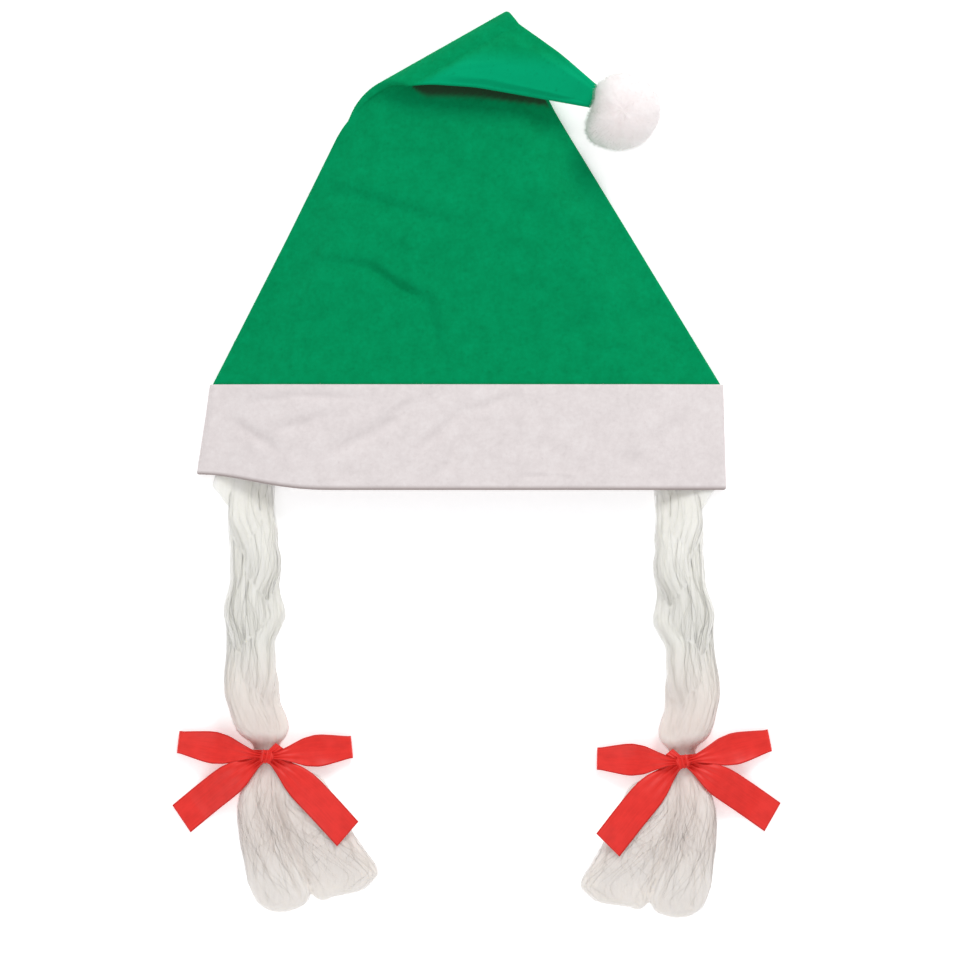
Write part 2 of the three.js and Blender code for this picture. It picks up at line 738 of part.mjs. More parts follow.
/** The bow: a turn of ribbon round the tie, a knot, two loops and two tails, all one ribbon. */
function bow(bundles, place) {
  const lift = ribbon_thickness + clearance;
  const middle = lift + neck_depth / 2;
  const knotZ = middle + (neck_depth / 2) * neck_ease + lift + knot_height / 2 - 1;
  const wrapHalf = [neck_width, neck_depth].map((size) => (size / 2) * neck_ease + clearance);
  const wrapLength = neck_length - 2;
  const wrap = skin(
    Array.from({ length: wrap_sides }, (_, i) => {
      const turn = (2 * Math.PI * i) / wrap_sides;
      return [[0, -1], [0, 1], [1, 1], [1, -1]].map(([out, end]) => {
        const grow = out * ribbon_thickness;
        const u = neck_offset + (wrapHalf[0] + grow) * Math.cos(turn);
        const z = Math.max(0, middle + (wrapHalf[1] + grow) * Math.sin(turn));
        return place(u, braid_length + (end * wrapLength) / 2, z);
      });
    }),
    true,
  );
  const knot = skin(
    Array.from({ length: knot_sides }, (_, i) => {
      const tilt = (Math.PI * (i + 0.5)) / knot_sides;
      return Array.from({ length: knot_sides }, (_, j) => {
        const turn = (2 * Math.PI * j) / knot_sides;
        return place(
          neck_offset - (knot_width / 2) * Math.cos(tilt),
          braid_length + (knot_width / 2) * Math.sin(tilt) * Math.cos(turn),
          knotZ + (knot_height / 2) * Math.sin(tilt) * Math.sin(turn),
        );
      });
    }),
  );
  const spread = (distance, long) => lerp(pinch_width, ribbon_width, smooth(distance / long, 0.08, 0.5));
  const tails = bow_tails.map(({ turn, length }) => {
    const long = tail_length * length;
    const distances = Array.from({ length: strip_rows + 1 }, (_, i) => (long * i) / strip_rows);
    const widths = distances.map((distance) => spread(distance, long));
    const heights = draped(bundles, turn, distances, widths, knotZ - 1);
    return strip(stationsAt(turn, distances.map((d, i) => [d, heights[i], widths[i]])), place);
  });
  const loops = bow_loops.map(({ turn, length }) => {
    const long = loop_length * length;
    const out = Array.from({ length: strip_rows + 1 }, (_, i) => (long * i) / strip_rows);
    const widths = out.map((d) => spread(d, long) * (1 - 0.25 * smooth(d / long, 0.6, 1)));
    const low = draped(bundles, turn, out, widths, knotZ);
    const open = (share) => smooth(share, 0, 0.5) * (1 - 0.55 * smooth(share, 0.6, 1));
    const gap = (share) => lerp(2.2 * ribbon_thickness, loop_height, open(share));
    const path = out.map((d, i) => [d, low[i], widths[i]]);
    const turnRadius = gap(1) / 2;
    path.push([long + turnRadius * 0.9, low.at(-1) + turnRadius, widths.at(-1)]);
    out.forEach((_, k) => {
      const i = strip_rows - k;
      path.push([out[i], low[i] + gap(i / strip_rows), widths[i]]);
    });
    return strip(stationsAt(turn, path), place);
  });
  return geometryOf(joined([wrap, knot, ...tails, ...loops]));
}

/** A braid and its bow. */
function braidWithBow(row) {
  const { name } = row;
  const place = placer(row);
  const bundles = [...braidStrands(row.x * half_crown), rootCorner(), ...tassel_lobes.map(tasselLobe)];
  const sides = (i) => (i < bundles.length - tassel_lobes.length ? strand_sides : lobe_sides);
  const fibre = geometryOf(joined(bundles.map((rows, i) => bundleSkin(rows, sides(i), place))));
  return [
    mesh(`braid_${name}`, fibre, white_fibre),
    mesh(`ribbon_bow_${name}`, bow(bundles, place), red_satin),
  ];
}

const hat = new THREE.Group();
hat.add(mesh("crown", crown(), green_felt));
hat.add(mesh("band", band(), white_felt));
hat.add(mesh("pompom", pompom(), white_pile));
hat.add(...braid_places.flatMap(braidWithBow));

const box = new THREE.Box3().setFromObject(hat);
const middle = box.getCenter(new THREE.Vector3());
hat.position.set(-middle.x, -middle.y, -box.min.z);

export default hat;
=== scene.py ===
"""A felt Christmas hat with two plaits of wig fibre, lying on its back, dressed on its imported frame.

Sizes are millimetres in the hat's own frame until place() turns them to metres in the row's frame: x runs to the
hat's right, y from the hem to the fold and z up from the surface that it lies on.
"""

import logging
import math
from collections.abc import Callable
from dataclasses import dataclass, field
from enum import Enum

import bpy
import numpy as np
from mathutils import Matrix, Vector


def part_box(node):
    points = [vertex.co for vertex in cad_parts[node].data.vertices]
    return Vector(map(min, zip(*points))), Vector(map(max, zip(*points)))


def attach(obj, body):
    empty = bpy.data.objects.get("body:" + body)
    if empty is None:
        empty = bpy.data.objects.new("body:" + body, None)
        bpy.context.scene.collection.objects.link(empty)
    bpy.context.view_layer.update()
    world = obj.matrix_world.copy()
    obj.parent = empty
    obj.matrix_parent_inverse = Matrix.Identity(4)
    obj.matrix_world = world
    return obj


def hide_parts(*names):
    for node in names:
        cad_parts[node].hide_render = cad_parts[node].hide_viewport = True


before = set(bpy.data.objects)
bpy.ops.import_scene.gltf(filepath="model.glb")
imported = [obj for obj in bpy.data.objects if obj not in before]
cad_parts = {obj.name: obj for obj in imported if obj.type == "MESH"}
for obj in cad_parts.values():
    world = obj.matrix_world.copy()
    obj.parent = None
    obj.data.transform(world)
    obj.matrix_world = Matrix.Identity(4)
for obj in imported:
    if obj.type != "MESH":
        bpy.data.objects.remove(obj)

LOG = logging.getLogger("hat")
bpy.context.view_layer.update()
MM = 0.001
HEM_MIDDLE = -2.8


class Side(Enum):
    """Which plait: the value is the sign of x that points from the plait to the hat's middle."""

    LEFT = 1
    RIGHT = -1


# ---- numbers and fields


def smooth(value: np.ndarray | float, low: float, high: float) -> np.ndarray:
    """An S-shaped step from 0 at low to 1 at high.

    Args:
        value: Where the step is read.
        low: Where it leaves 0.
        high: Where it reaches 1.

    Returns:
        The step at each value.
    """
    t = np.clip((np.asarray(value, float) - low) / (high - low), 0.0, 1.0)
    return t * t * (3.0 - 2.0 * t)


def lerp(a: np.ndarray | float, b: np.ndarray | float, t: np.ndarray | float) -> np.ndarray:
    """A straight mix of a and b."""
    return a + (np.asarray(b) - a) * t


def softened(values: np.ndarray, reach: int) -> np.ndarray:
    """The values with their corners rounded off over a few neighbours.

    Args:
        values: Numbers at even steps.
        reach: How many neighbours count on each side.

    Returns:
        As many numbers.
    """
    share = np.hanning(2 * reach + 3)[1:-1]
    return np.convolve(np.pad(values, reach, mode="edge"), share / share.sum(), mode="valid")


def ripple(x: np.ndarray, y: np.ndarray, length: float, seed: int) -> np.ndarray:
    """A gentle uneven swell, made of plane waves in seeded directions.

    Args:
        x: Place across, in millimetres.
        y: Place along, in millimetres.
        length: The usual wavelength.
        seed: Which swell.

    Returns:
        Heights of about -1 to 1.
    """
    rng = np.random.default_rng(seed)
    total = np.zeros(np.broadcast(x, y).shape)
    for _ in range(12):
        turn, phase = rng.uniform(0, 2 * math.pi, 2)
        k = 2 * math.pi / (length * rng.uniform(0.7, 1.5))
        total += np.sin(k * (x * math.cos(turn) + y * math.sin(turn)) + phase)
    return total / 3.5


@dataclass(frozen=True)
class Dent:
    """A soft oval hollow: its middle, half sizes and depth in millimetres, and its turn in degrees."""

    x: float
    y: float
    reach: float
    breadth: float
    turn: float
    depth: float

    def at(self, x: np.ndarray, y: np.ndarray) -> np.ndarray:
        """The hollow's depth.

        Args:
            x: Place across.
            y: Place along.

        Returns:
            Depth at each place.
        """
        c, s = math.cos(math.radians(self.turn)), math.sin(math.radians(self.turn))
        far = ((x - self.x) * c + (y - self.y) * s) / self.reach
        off = ((y - self.y) * c - (x - self.x) * s) / self.breadth
        return self.depth * np.exp(-far * far - off * off)


@dataclass(frozen=True)
class Crease:
    """A soft valley along a line, with a low swell on the side that the light comes from."""

    line: tuple[tuple[float, float], ...]
    breadth: float
    depth: float
    swell: float = 0.45

    def at(self, x: np.ndarray, y: np.ndarray) -> np.ndarray:
        """The valley's depth.

        Args:
            x: Place across.
            y: Place along.

        Returns:
            Depth at each place, negative on the swell.
        """
        nearest = np.full(x.shape, 1e9)
        signed = np.zeros(x.shape)
        along = np.zeros(x.shape)
        points = np.array(self.line)
        steps = np.linalg.norm(np.diff(points, axis=0), axis=1)
        total = float(steps.sum())
        done = 0.0
        for (ax, ay), (bx, by), step in zip(points[:-1], points[1:], steps):
            dx, dy = (bx - ax) / step, (by - ay) / step
            run = np.clip((x - ax) * dx + (y - ay) * dy, 0.0, step)
            px, py = x - ax - run * dx, y - ay - run * dy
            far = np.hypot(px, py)
            closer = far < nearest
            nearest = np.where(closer, far, nearest)
            signed = np.where(closer, np.where(dx * py - dy * px > 0, far, -far), signed)
            along = np.where(closer, (done + run) / total, along)
            done += float(step)
        fade = np.sqrt(np.clip(np.sin(np.pi * np.clip(along, 0.02, 0.98)), 0, 1))
        valley = np.exp(-((nearest / self.breadth) ** 2))
        rise = np.exp(-(((signed - 1.9 * self.breadth) / (1.3 * self.breadth)) ** 2))
        return self.depth * fade * (valley - self.swell * rise)


CROWN_FOLDS: tuple[Dent | Crease, ...] = (
    Dent(-60.0, 160.9, 41.9, 4.9, -16, 1.2),
    Dent(-33.5, 102.9, 33.5, 6.3, -80, 0.9),
    Dent(-58.6, 224.3, 55.8, 7.0, -11, 1.0),
    Dent(-92.1, 123.8, 27.9, 11.2, 40, 1.4),
    Dent(22.3, 181.8, 22.3, 9.8, 20, 1.3),
    Dent(41.9, 147.5, 19.5, 8.4, -30, 1.3),
    Dent(64.2, 210.9, 19.5, 7.0, 0, 1.2),
    Dent(83.7, 92.1, 27.9, 5.6, 12, 1.4),
    Dent(-88.8, 90.8, 10.0, 7.0, 20, 0.9),
    Dent(61.3, 170.0, 7.0, 5.0, 0, 0.7),
    Dent(31.6, 150.0, 9.0, 5.0, 30, 0.6),
    Dent(21.2, 126.5, 9.0, 6.0, 0, 0.6),
    Dent(40.4, 110.0, 8.0, 6.0, 0, 0.7),
    Crease(((-86, 158.6), (-66, 158.8), (-50.3, 157.0), (-33, 150.5), (-16.8, 146.0), (2, 145.8)), 5.5, 1.15),
    Crease(((-86, 121.5), (-73, 124.0), (-61.3, 122.7), (-50.3, 120.5), (-37.7, 111.7), (-22.8, 103.4),
            (-18.6, 88.6), (-12.4, 67.7)), 4.0, 1.5),
    Crease(((-56, 122.6), (-48, 119.0), (-37.7, 111.7), (-27.5, 106.5)), 2.0, 0.8, 0.7),
    Crease(((-109.7, 107.8), (-97.0, 122.5)), 5.0, 0.8),
    Crease(((74.0, 75.6), (82.0, 77.2), (92.0, 76.2)), 2.0, 0.7),
    Crease(((97.5, 89.2), (104.0, 88.0)), 1.6, 0.5),
    Crease(((53.3, 80.0), (61.2, 91.0), (76.2, 98.5), (103.5, 99.6)), 5.5, 0.8),
    Crease(((52.0, 143.0), (70.0, 144.4)), 4.0, 0.6),
)

BAND_FOLDS: tuple[Dent | Crease, ...] = (
    Dent(92.1, 14.3, 8.0, 7.0, 60, 0.9),
    Crease(((-136.5, 40.5), (-120.0, 30.0), (-103.0, 19.6)), 3.4, 1.1),
    Crease(((-109.2, 30.8), (-90.0, 35.5), (-72.9, 42.3)), 3.2, 0.9),
    Crease(((-120.6, 48.0), (-94.3, 51.4), (-58.2, 50.6)), 2.2, 0.7),
    Crease(((-74.9, 20.5), (-56.0, 28.0), (-39.3, 37.6), (-22.3, 51.5)), 3.6, 1.2),
    Crease(((-41.3, 41.9), (-30.5, 49.0)), 1.8, 0.6),
    Crease(((-27.7, 19.4), (-9.6, 35.2), (1.8, 48.0)), 3.2, 1.2),
    Crease(((-22.3, 5.0), (-7.4, 14.3), (-4.6, 26.4), (0.7, 42.0)), 2.8, 0.8),
    Crease(((4.2, 43.5), (28.3, 52.5)), 2.6, 0.7),
    Crease(((29.5, 7.4), (46.4, 7.8)), 1.0, 0.45),
    Crease(((48.8, 6.8), (61.2, 6.4)), 1.0, 0.35),
    Crease(((133.0, 41.5), (137.7, 30.9)), 2.6, 0.9),
    Crease(((110.0, 28.0), (124.0, 44.0), (130.0, 52.0)), 4.0, 0.7),
)

FLAP_FOLDS: tuple[Dent | Crease, ...] = (
    Crease(((-35.8, 229.2), (-8.0, 232.2), (23.2, 234.5)), 1.5, -0.5, 0.0),
    Crease(((-27.0, 227.9), (-4.3, 230.9)), 1.2, -0.4, 0.0),
    Crease(((14.3, 254.5), (30.0, 250.5), (42.2, 243.3)), 4.5, 1.0),
    Dent(61.3, 215.6, 6.0, 3.5, 60, 0.7),
    Dent(24.0, 224.0, 12.0, 4.0, -12, 0.6),
)


def depth_of(folds: tuple[Dent | Crease, ...], x: np.ndarray, y: np.ndarray) -> np.ndarray:
    """How deep all folds together are at each place."""
    return sum((fold.at(x, y) for fold in folds), np.zeros(x.shape))


# ---- meshes


def hat_origin() -> np.ndarray:
    """Where the hat's own origin lies in the row's frame.

    Returns:
        The point in millimetres.
    """
    low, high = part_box("band")
    return np.array([(low[0] + high[0]) / 2 / MM - HEM_MIDDLE, low[1] / MM, 0.0])


ORIGIN = hat_origin()


def place(points: np.ndarray) -> np.ndarray:
    """Points of the hat's frame in millimetres as points of the row's frame in metres."""
    return (points + ORIGIN) * MM


class Skins:
    """Gathers closed skins of quads, each facing outwards, into one mesh."""

    def __init__(self) -> None:
        """Starts with no skin."""
        self.points: list[np.ndarray] = []
        self.faces: list[np.ndarray] = []
        self.fans: list[np.ndarray] = []
        self.uvs: list[np.ndarray] = []
        self.count = 0

    def add(self, rings: np.ndarray, closed: bool = False, uv: np.ndarray | None = None) -> None:
        """Adds a skin through rings of points, joined end to end or capped.

        Args:
            rings: Points in the hat's frame, one row for each ring.
            closed: True where the last ring joins the first.
            uv: Two numbers for each point, for a pattern that follows the surface.
        """
        rows, across = rings.shape[:2]
        here = np.arange(rows if closed else rows - 1)[:, None] * across
        there = ((np.arange(rows if closed else rows - 1)[:, None] + 1) % rows) * across
        j = np.arange(across)[None, :]
        k = (j + 1) % across
        quads = np.stack([here + j, there + j, there + k, here + k], axis=-1).reshape(-1, 4)
        points = rings.reshape(-1, 3)
        fans = np.zeros((0, 3), int)
        uvs = np.zeros((len(points), 2)) if uv is None else uv.reshape(-1, 2)
        if not closed:
            hubs = np.stack([rings[0].mean(0), rings[-1].mean(0)])
            one, last, ring = len(points), (rows - 1) * across, np.arange(across)
            first = np.stack([np.full(across, one), (ring + 1) % across, ring], axis=-1)
            end = np.stack([np.full(across, one + 1), last + ring, last + (ring + 1) % across], axis=-1)
            fans = np.concatenate([first[:, ::-1], end[:, ::-1]])
            points = np.concatenate([points, hubs])
            uvs = np.concatenate([uvs, uvs[:1], uvs[-1:]])
        flat = np.concatenate([quads[:, [0, 1, 2]], quads[:, [0, 2, 3]], fans])
        a, b, c = (points[flat[:, i]] for i in range(3))
        if float((a * np.cross(b, c)).sum()) < 0:
            quads, fans = quads[:, ::-1], fans[:, ::-1]
        self.points.append(points)
        self.faces.append(quads + self.count)
        self.fans.append(fans + self.count)
        self.uvs.append(uvs)
        self.count += len(points)

    def build(self, name: str, material: bpy.types.Material) -> bpy.types.Object:
        """Makes the object of all skins.

        Args:
            name: The object's name.
            material: Its finish.

        Returns:
            The object, linked to the scene, with its place in its mesh.
        """
        points = place(np.concatenate(self.points))
        points[:, 2] = np.maximum(points[:, 2], 0.0)
        quads, fans = np.concatenate(self.faces), np.concatenate(self.fans)
        corners = np.concatenate([quads.ravel(), fans.ravel()])
        starts = np.concatenate([np.arange(len(quads)) * 4, len(quads) * 4 + np.arange(len(fans)) * 3])
        mesh = bpy.data.meshes.new(name)
        mesh.vertices.add(len(points))
        mesh.vertices.foreach_set("co", points.ravel())
        mesh.loops.add(len(corners))
        mesh.loops.foreach_set("vertex_index", corners.astype(np.int32))
        mesh.polygons.add(len(starts))
        mesh.polygons.foreach_set("loop_start", starts.astype(np.int32))
        mesh.update(calc_edges=True)
        mesh.polygons.foreach_set("use_smooth", np.ones(len(starts), bool))
        layer = mesh.uv_layers.new(name="UVMap")
        layer.data.foreach_set("uv", np.concatenate(self.uvs)[corners].ravel())
        mesh.validate()
        return linked(name, mesh, material)


def linked(name: str, mesh: bpy.types.Mesh, material: bpy.types.Material) -> bpy.types.Object:
    """Links a mesh to the scene as an object with one finish.

    Args:
        name: The object's name.
        mesh: Its mesh.
        material: Its finish.

    Returns:
        The object, at the origin.
    """
    if not mesh.materials:
        mesh.materials.append(material)
    made = bpy.data.objects.new(name, mesh)
    bpy.context.scene.collection.objects.link(made)
    return made


def mark(piece: bpy.types.Object, name: str, shares: np.ndarray) -> None:
    """Writes a share for each point of a piece, which its finish reads.

    Args:
        piece: The piece.
        name: Which painted tone the share lays on: painted shade or painted light.
        shares: Shares from 0 to 1 in the order of the points, without the hubs that close the skin.
    """
    values = np.zeros(len(piece.data.vertices), np.float32)
    values[:shares.size] = shares.ravel()
    piece.data.attributes.new(name, "FLOAT", "POINT").data.foreach_set("value", values)


def sheet_mesh(name: str, grid: np.ndarray, material: bpy.types.Material) -> bpy.types.Object:
    """An open sheet through a grid of points, for growing nap on.

    Args:
        name: The object's name.
        grid: Points in the hat's frame.
        material: Its finish.

    Returns:
        The object.
    """
    rows, across = grid.shape[:2]
    i = np.arange(rows - 1)[:, None] * across
    j = np.arange(across - 1)[None, :]
    quads = np.stack([i + j, i + across + j, i + across + j + 1, i + j + 1], axis=-1).reshape(-1, 4)
    mesh = bpy.data.meshes.new(name)
    mesh.from_pydata(place(grid.reshape(-1, 3)).tolist(), [], quads.tolist())
    return linked(name, mesh, material)


def dress(piece: bpy.types.Object, slot: str, *nodes: str) -> bpy.types.Object:
    """Makes a piece ride on the part and stand for its solids.

    Args:
        piece: The piece.
        slot: The name of a record's slot; not used.
        *nodes: The solids that it replaces, if any.

    Returns:
        The piece.
    """
    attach(piece, "root")
    if nodes:
        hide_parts(*nodes)
    faces = sum(len(p.vertices) - 2 for p in piece.data.polygons)
    LOG.info("%s: %d triangles", piece.name, faces)
    return piece


# ---- node trees


def add(tree: bpy.types.NodeTree, kind: str, links: dict | None = None, **settings: object) -> bpy.types.Node:
    """Adds a node with its settings and links.

    Args:
        tree: The tree that it goes into.
        kind: Blender's name for the node.
        links: A value or another node's socket for each input, by name or number.
        **settings: The node's own properties.

    Returns:
        The node.
    """
    made = tree.nodes.new(kind)
    for name, value in settings.items():
        setattr(made, name, value)
    for socket, value in (links or {}).items():
        if isinstance(value, bpy.types.NodeSocket):
            tree.links.new(value, made.inputs[socket])
        else:
            made.inputs[socket].default_value = value
    return made


def linear(colour: str) -> tuple[float, float, float, float]:
    """An sRGB hex colour as Blender's linear colour."""
    parts = [int(colour[i : i + 2], 16) / 255 for i in (1, 3, 5)]
    return (*(v / 12.92 if v <= 0.04045 else ((v + 0.055) / 1.055) ** 2.4 for v in parts), 1.0)


@dataclass
class Growth:
    """Short fibres that stand on a surface, seeded over it by Geometry Nodes."""

    length: float
    girth: float
    density: float
    lean: float
    curl: float
    seed: int
    joints: int = 3

    def tree(self, material: bpy.types.Material) -> bpy.types.NodeTree:
        """The node tree that grows the fibres.

        Args:
            material: The fibres' finish.

        Returns:
            The tree, with its sizes as named inputs.
        """
        tree = bpy.data.node_groups.new("grow_fibres", "GeometryNodeTree")
        face = tree.interface
        face.new_socket("Geometry", in_out="INPUT", socket_type="NodeSocketGeometry")
        for name in ("Length", "Girth", "Density", "Lean", "Curl"):
            face.new_socket(name, in_out="INPUT", socket_type="NodeSocketFloat")
        face.new_socket("Seed", in_out="INPUT", socket_type="NodeSocketInt")
        face.new_socket("Geometry", in_out="OUTPUT", socket_type="NodeSocketGeometry")
        given = add(tree, "NodeGroupInput").outputs
        spots = add(tree, "GeometryNodeDistributePointsOnFaces",
                    {"Mesh": given["Geometry"], "Density": given["Density"], "Seed": given["Seed"]})
        bend = add(tree, "ShaderNodeMath", {0: given["Length"], 1: given["Curl"]}, operation="MULTIPLY")
        root = add(tree, "ShaderNodeMath", {0: given["Length"], 1: -0.15}, operation="MULTIPLY")
        knee = add(tree, "ShaderNodeMath", {0: given["Length"], 1: 0.55}, operation="MULTIPLY")
        start = add(tree, "ShaderNodeCombineXYZ", {"Z": root.outputs[0]})
        middle = add(tree, "ShaderNodeCombineXYZ", {"Z": knee.outputs[0]})
        end = add(tree, "ShaderNodeCombineXYZ", {"X": bend.outputs[0], "Z": given["Length"]})
        spine = add(tree, "GeometryNodeCurveQuadraticBezier",
                    {"Resolution": self.joints, "Start": start.outputs[0], "Middle": middle.outputs[0],
                     "End": end.outputs[0]})
        ring = add(tree, "GeometryNodeCurvePrimitiveCircle", {"Resolution": 3, "Radius": given["Girth"]})
        way = add(tree, "GeometryNodeSplineParameter")
        taper = add(tree, "ShaderNodeMapRange", {"Value": way.outputs["Factor"], "To Min": 1.0, "To Max": 0.3})
        fibre = add(tree, "GeometryNodeCurveToMesh",
                    {"Curve": spine.outputs[0], "Profile Curve": ring.outputs[0], "Scale": taper.outputs[0],
                     "Fill Caps": True})
        low = add(tree, "ShaderNodeMath", {0: given["Lean"], 1: -1.0}, operation="MULTIPLY")
        least = add(tree, "ShaderNodeCombineXYZ", {"X": low.outputs[0], "Y": low.outputs[0]})
        most = add(tree, "ShaderNodeCombineXYZ", {"X": given["Lean"], "Y": given["Lean"], "Z": 2 * math.pi})
        turn = add(tree, "FunctionNodeRandomValue", {0: least.outputs[0], 1: most.outputs[0],
                   "Seed": given["Seed"]}, data_type="FLOAT_VECTOR")
        about = add(tree, "FunctionNodeEulerToRotation", {0: turn.outputs[0]})
        facing = add(tree, "FunctionNodeRotateRotation",
                     {"Rotation": spots.outputs["Rotation"], "Rotate By": about.outputs[0]},
                     rotation_space="LOCAL")
        size = add(tree, "FunctionNodeRandomValue", {2: 0.6, 3: 1.15}, data_type="FLOAT")
        grown = add(tree, "GeometryNodeInstanceOnPoints",
                    {"Points": spots.outputs["Points"], "Instance": fibre.outputs[0],
                     "Rotation": facing.outputs[0], "Scale": size.outputs[1]})
        real = add(tree, "GeometryNodeRealizeInstances", {"Geometry": grown.outputs[0]})
        dressed = add(tree, "GeometryNodeSetMaterial", {"Geometry": real.outputs[0], "Material": material})
        add(tree, "NodeGroupOutput", {"Geometry": dressed.outputs[0]})
        return tree

    def grow(self, ground: bpy.types.Object, name: str, material: bpy.types.Material) -> bpy.types.Object:
        """Grows the fibres on an object, which is used up.

        Args:
            ground: The surface that they stand on.
            name: The new piece's name.
            material: The fibres' finish.

        Returns:
            The fibres as one plain mesh.
        """
        sizes = {"Length": self.length * MM, "Girth": self.girth * MM, "Density": self.density / MM**2,
                 "Lean": math.radians(self.lean), "Curl": self.curl, "Seed": self.seed}
        return made_plain(ground, name, self.tree(material), sizes, material)


def fibre_tree(material: bpy.types.Material) -> bpy.types.NodeTree:
    """The node tree that gives hairs their body along the lines of a mesh.

    Args:
        material: The hairs' finish.

    Returns:
        The tree, with the hair's radius as a named input.
    """
    tree = bpy.data.node_groups.new("round_hairs", "GeometryNodeTree")
    face = tree.interface
    face.new_socket("Geometry", in_out="INPUT", socket_type="NodeSocketGeometry")
    face.new_socket("Girth", in_out="INPUT", socket_type="NodeSocketFloat")
    face.new_socket("Geometry", in_out="OUTPUT", socket_type="NodeSocketGeometry")
    given = add(tree, "NodeGroupInput").outputs
    line = add(tree, "GeometryNodeMeshToCurve", {"Mesh": given["Geometry"]})
    ring = add(tree, "GeometryNodeCurvePrimitiveCircle", {"Resolution": 3, "Radius": given["Girth"]})
    girth = add(tree, "GeometryNodeInputNamedAttribute", {"Name": "girth"}, data_type="FLOAT")
    hair = add(tree, "GeometryNodeCurveToMesh",
               {"Curve": line.outputs[0], "Profile Curve": ring.outputs[0], "Scale": girth.outputs[0],
                "Fill Caps": True})
    even = add(tree, "GeometryNodeSetShadeSmooth", {"Geometry": hair.outputs[0]})
    real = add(tree, "GeometryNodeRealizeInstances", {"Geometry": even.outputs[0]})
    dressed = add(tree, "GeometryNodeSetMaterial", {"Geometry": real.outputs[0], "Material": material})
    add(tree, "NodeGroupOutput", {"Geometry": dressed.outputs[0]})
    return tree


def stitch_tree(material: bpy.types.Material) -> bpy.types.NodeTree:
    """The node tree that sews rounded stitches along the lines of a mesh.

    Args:
        material: The thread's finish.

    Returns:
        The tree, with the stitch's pitch, length and thickness as named inputs.
    """
    tree = bpy.data.node_groups.new("sew_stitches", "GeometryNodeTree")
    face = tree.interface
    face.new_socket("Geometry", in_out="INPUT", socket_type="NodeSocketGeometry")
    for name in ("Pitch", "Length", "Thread"):
        face.new_socket(name, in_out="INPUT", socket_type="NodeSocketFloat")
    face.new_socket("Geometry", in_out="OUTPUT", socket_type="NodeSocketGeometry")
    given = add(tree, "NodeGroupInput").outputs
    line = add(tree, "GeometryNodeMeshToCurve", {"Mesh": given["Geometry"]})
    spots = add(tree, "GeometryNodeCurveToPoints", {"Curve": line.outputs[0], "Length": given["Pitch"]},
                mode="LENGTH")
    half = add(tree, "ShaderNodeMath", {0: given["Length"], 1: 0.5}, operation="MULTIPLY")
    back = add(tree, "ShaderNodeMath", {0: given["Length"], 1: -0.5}, operation="MULTIPLY")
    arch = add(tree, "ShaderNodeMath", {0: given["Thread"], 1: 0.9}, operation="MULTIPLY")
    start = add(tree, "ShaderNodeCombineXYZ", {"Z": back.outputs[0]})
    middle = add(tree, "ShaderNodeCombineXYZ", {"X": arch.outputs[0]})
    end = add(tree, "ShaderNodeCombineXYZ", {"Z": half.outputs[0]})
    spine = add(tree, "GeometryNodeCurveQuadraticBezier",
                {"Resolution": 4, "Start": start.outputs[0], "Middle": middle.outputs[0], "End": end.outputs[0]})
    ring = add(tree, "GeometryNodeCurvePrimitiveCircle", {"Resolution": 5, "Radius": given["Thread"]})
    way = add(tree, "GeometryNodeSplineParameter")
    arc = add(tree, "ShaderNodeMath", {0: way.outputs["Factor"], 1: math.pi}, operation="MULTIPLY")
    swell = add(tree, "ShaderNodeMath", {0: arc.outputs[0]}, operation="SINE")
    size = add(tree, "ShaderNodeMapRange", {"Value": swell.outputs[0], "To Min": 0.45, "To Max": 1.0})
    thread = add(tree, "GeometryNodeCurveToMesh",
                 {"Curve": spine.outputs[0], "Profile Curve": ring.outputs[0], "Scale": size.outputs[0],
                  "Fill Caps": True})
    sewn = add(tree, "GeometryNodeInstanceOnPoints",
               {"Points": spots.outputs["Points"], "Instance": thread.outputs[0],
                "Rotation": spots.outputs["Rotation"]})
    real = add(tree, "GeometryNodeRealizeInstances", {"Geometry": sewn.outputs[0]})
    even = add(tree, "GeometryNodeSetShadeSmooth", {"Geometry": real.outputs[0]})
    dressed = add(tree, "GeometryNodeSetMaterial", {"Geometry": even.outputs[0], "Material": material})
    add(tree, "NodeGroupOutput", {"Geometry": dressed.outputs[0]})
    return tree


def made_plain(source: bpy.types.Object, name: str, tree: bpy.types.NodeTree, sizes: dict[str, float | int],
               material: bpy.types.Material) -> bpy.types.Object:
    """Runs a node tree on an object and keeps the result as a plain mesh.

    Args:
        source: The object that the tree reads, which is used up.
        name: The new object's name.
        tree: The tree.
        sizes: The tree's named inputs.
        material: The finish.

    Returns:
        The new object, with no modifier.
    """
    modifier = source.modifiers.new("nodes", "NODES")
    modifier.node_group = tree
    for item in tree.interface.items_tree:
        if item.in_out == "INPUT" and item.name in sizes:
            modifier[item.identifier] = sizes[item.name]
    graph = bpy.context.evaluated_depsgraph_get()
    mesh = bpy.data.meshes.new_from_object(source.evaluated_get(graph), depsgraph=graph)
    mesh.name = name
    bpy.data.objects.remove(source)
    for vertex_layer in list(mesh.attributes):
        if vertex_layer.name == "girth":
            mesh.attributes.remove(vertex_layer)
    co = np.empty(len(mesh.vertices) * 3)
    mesh.vertices.foreach_get("co", co)
    co[2::3] = np.maximum(co[2::3], 0.0)
    mesh.vertices.foreach_set("co", co)
    mesh.update()
    return linked(name, mesh, material)


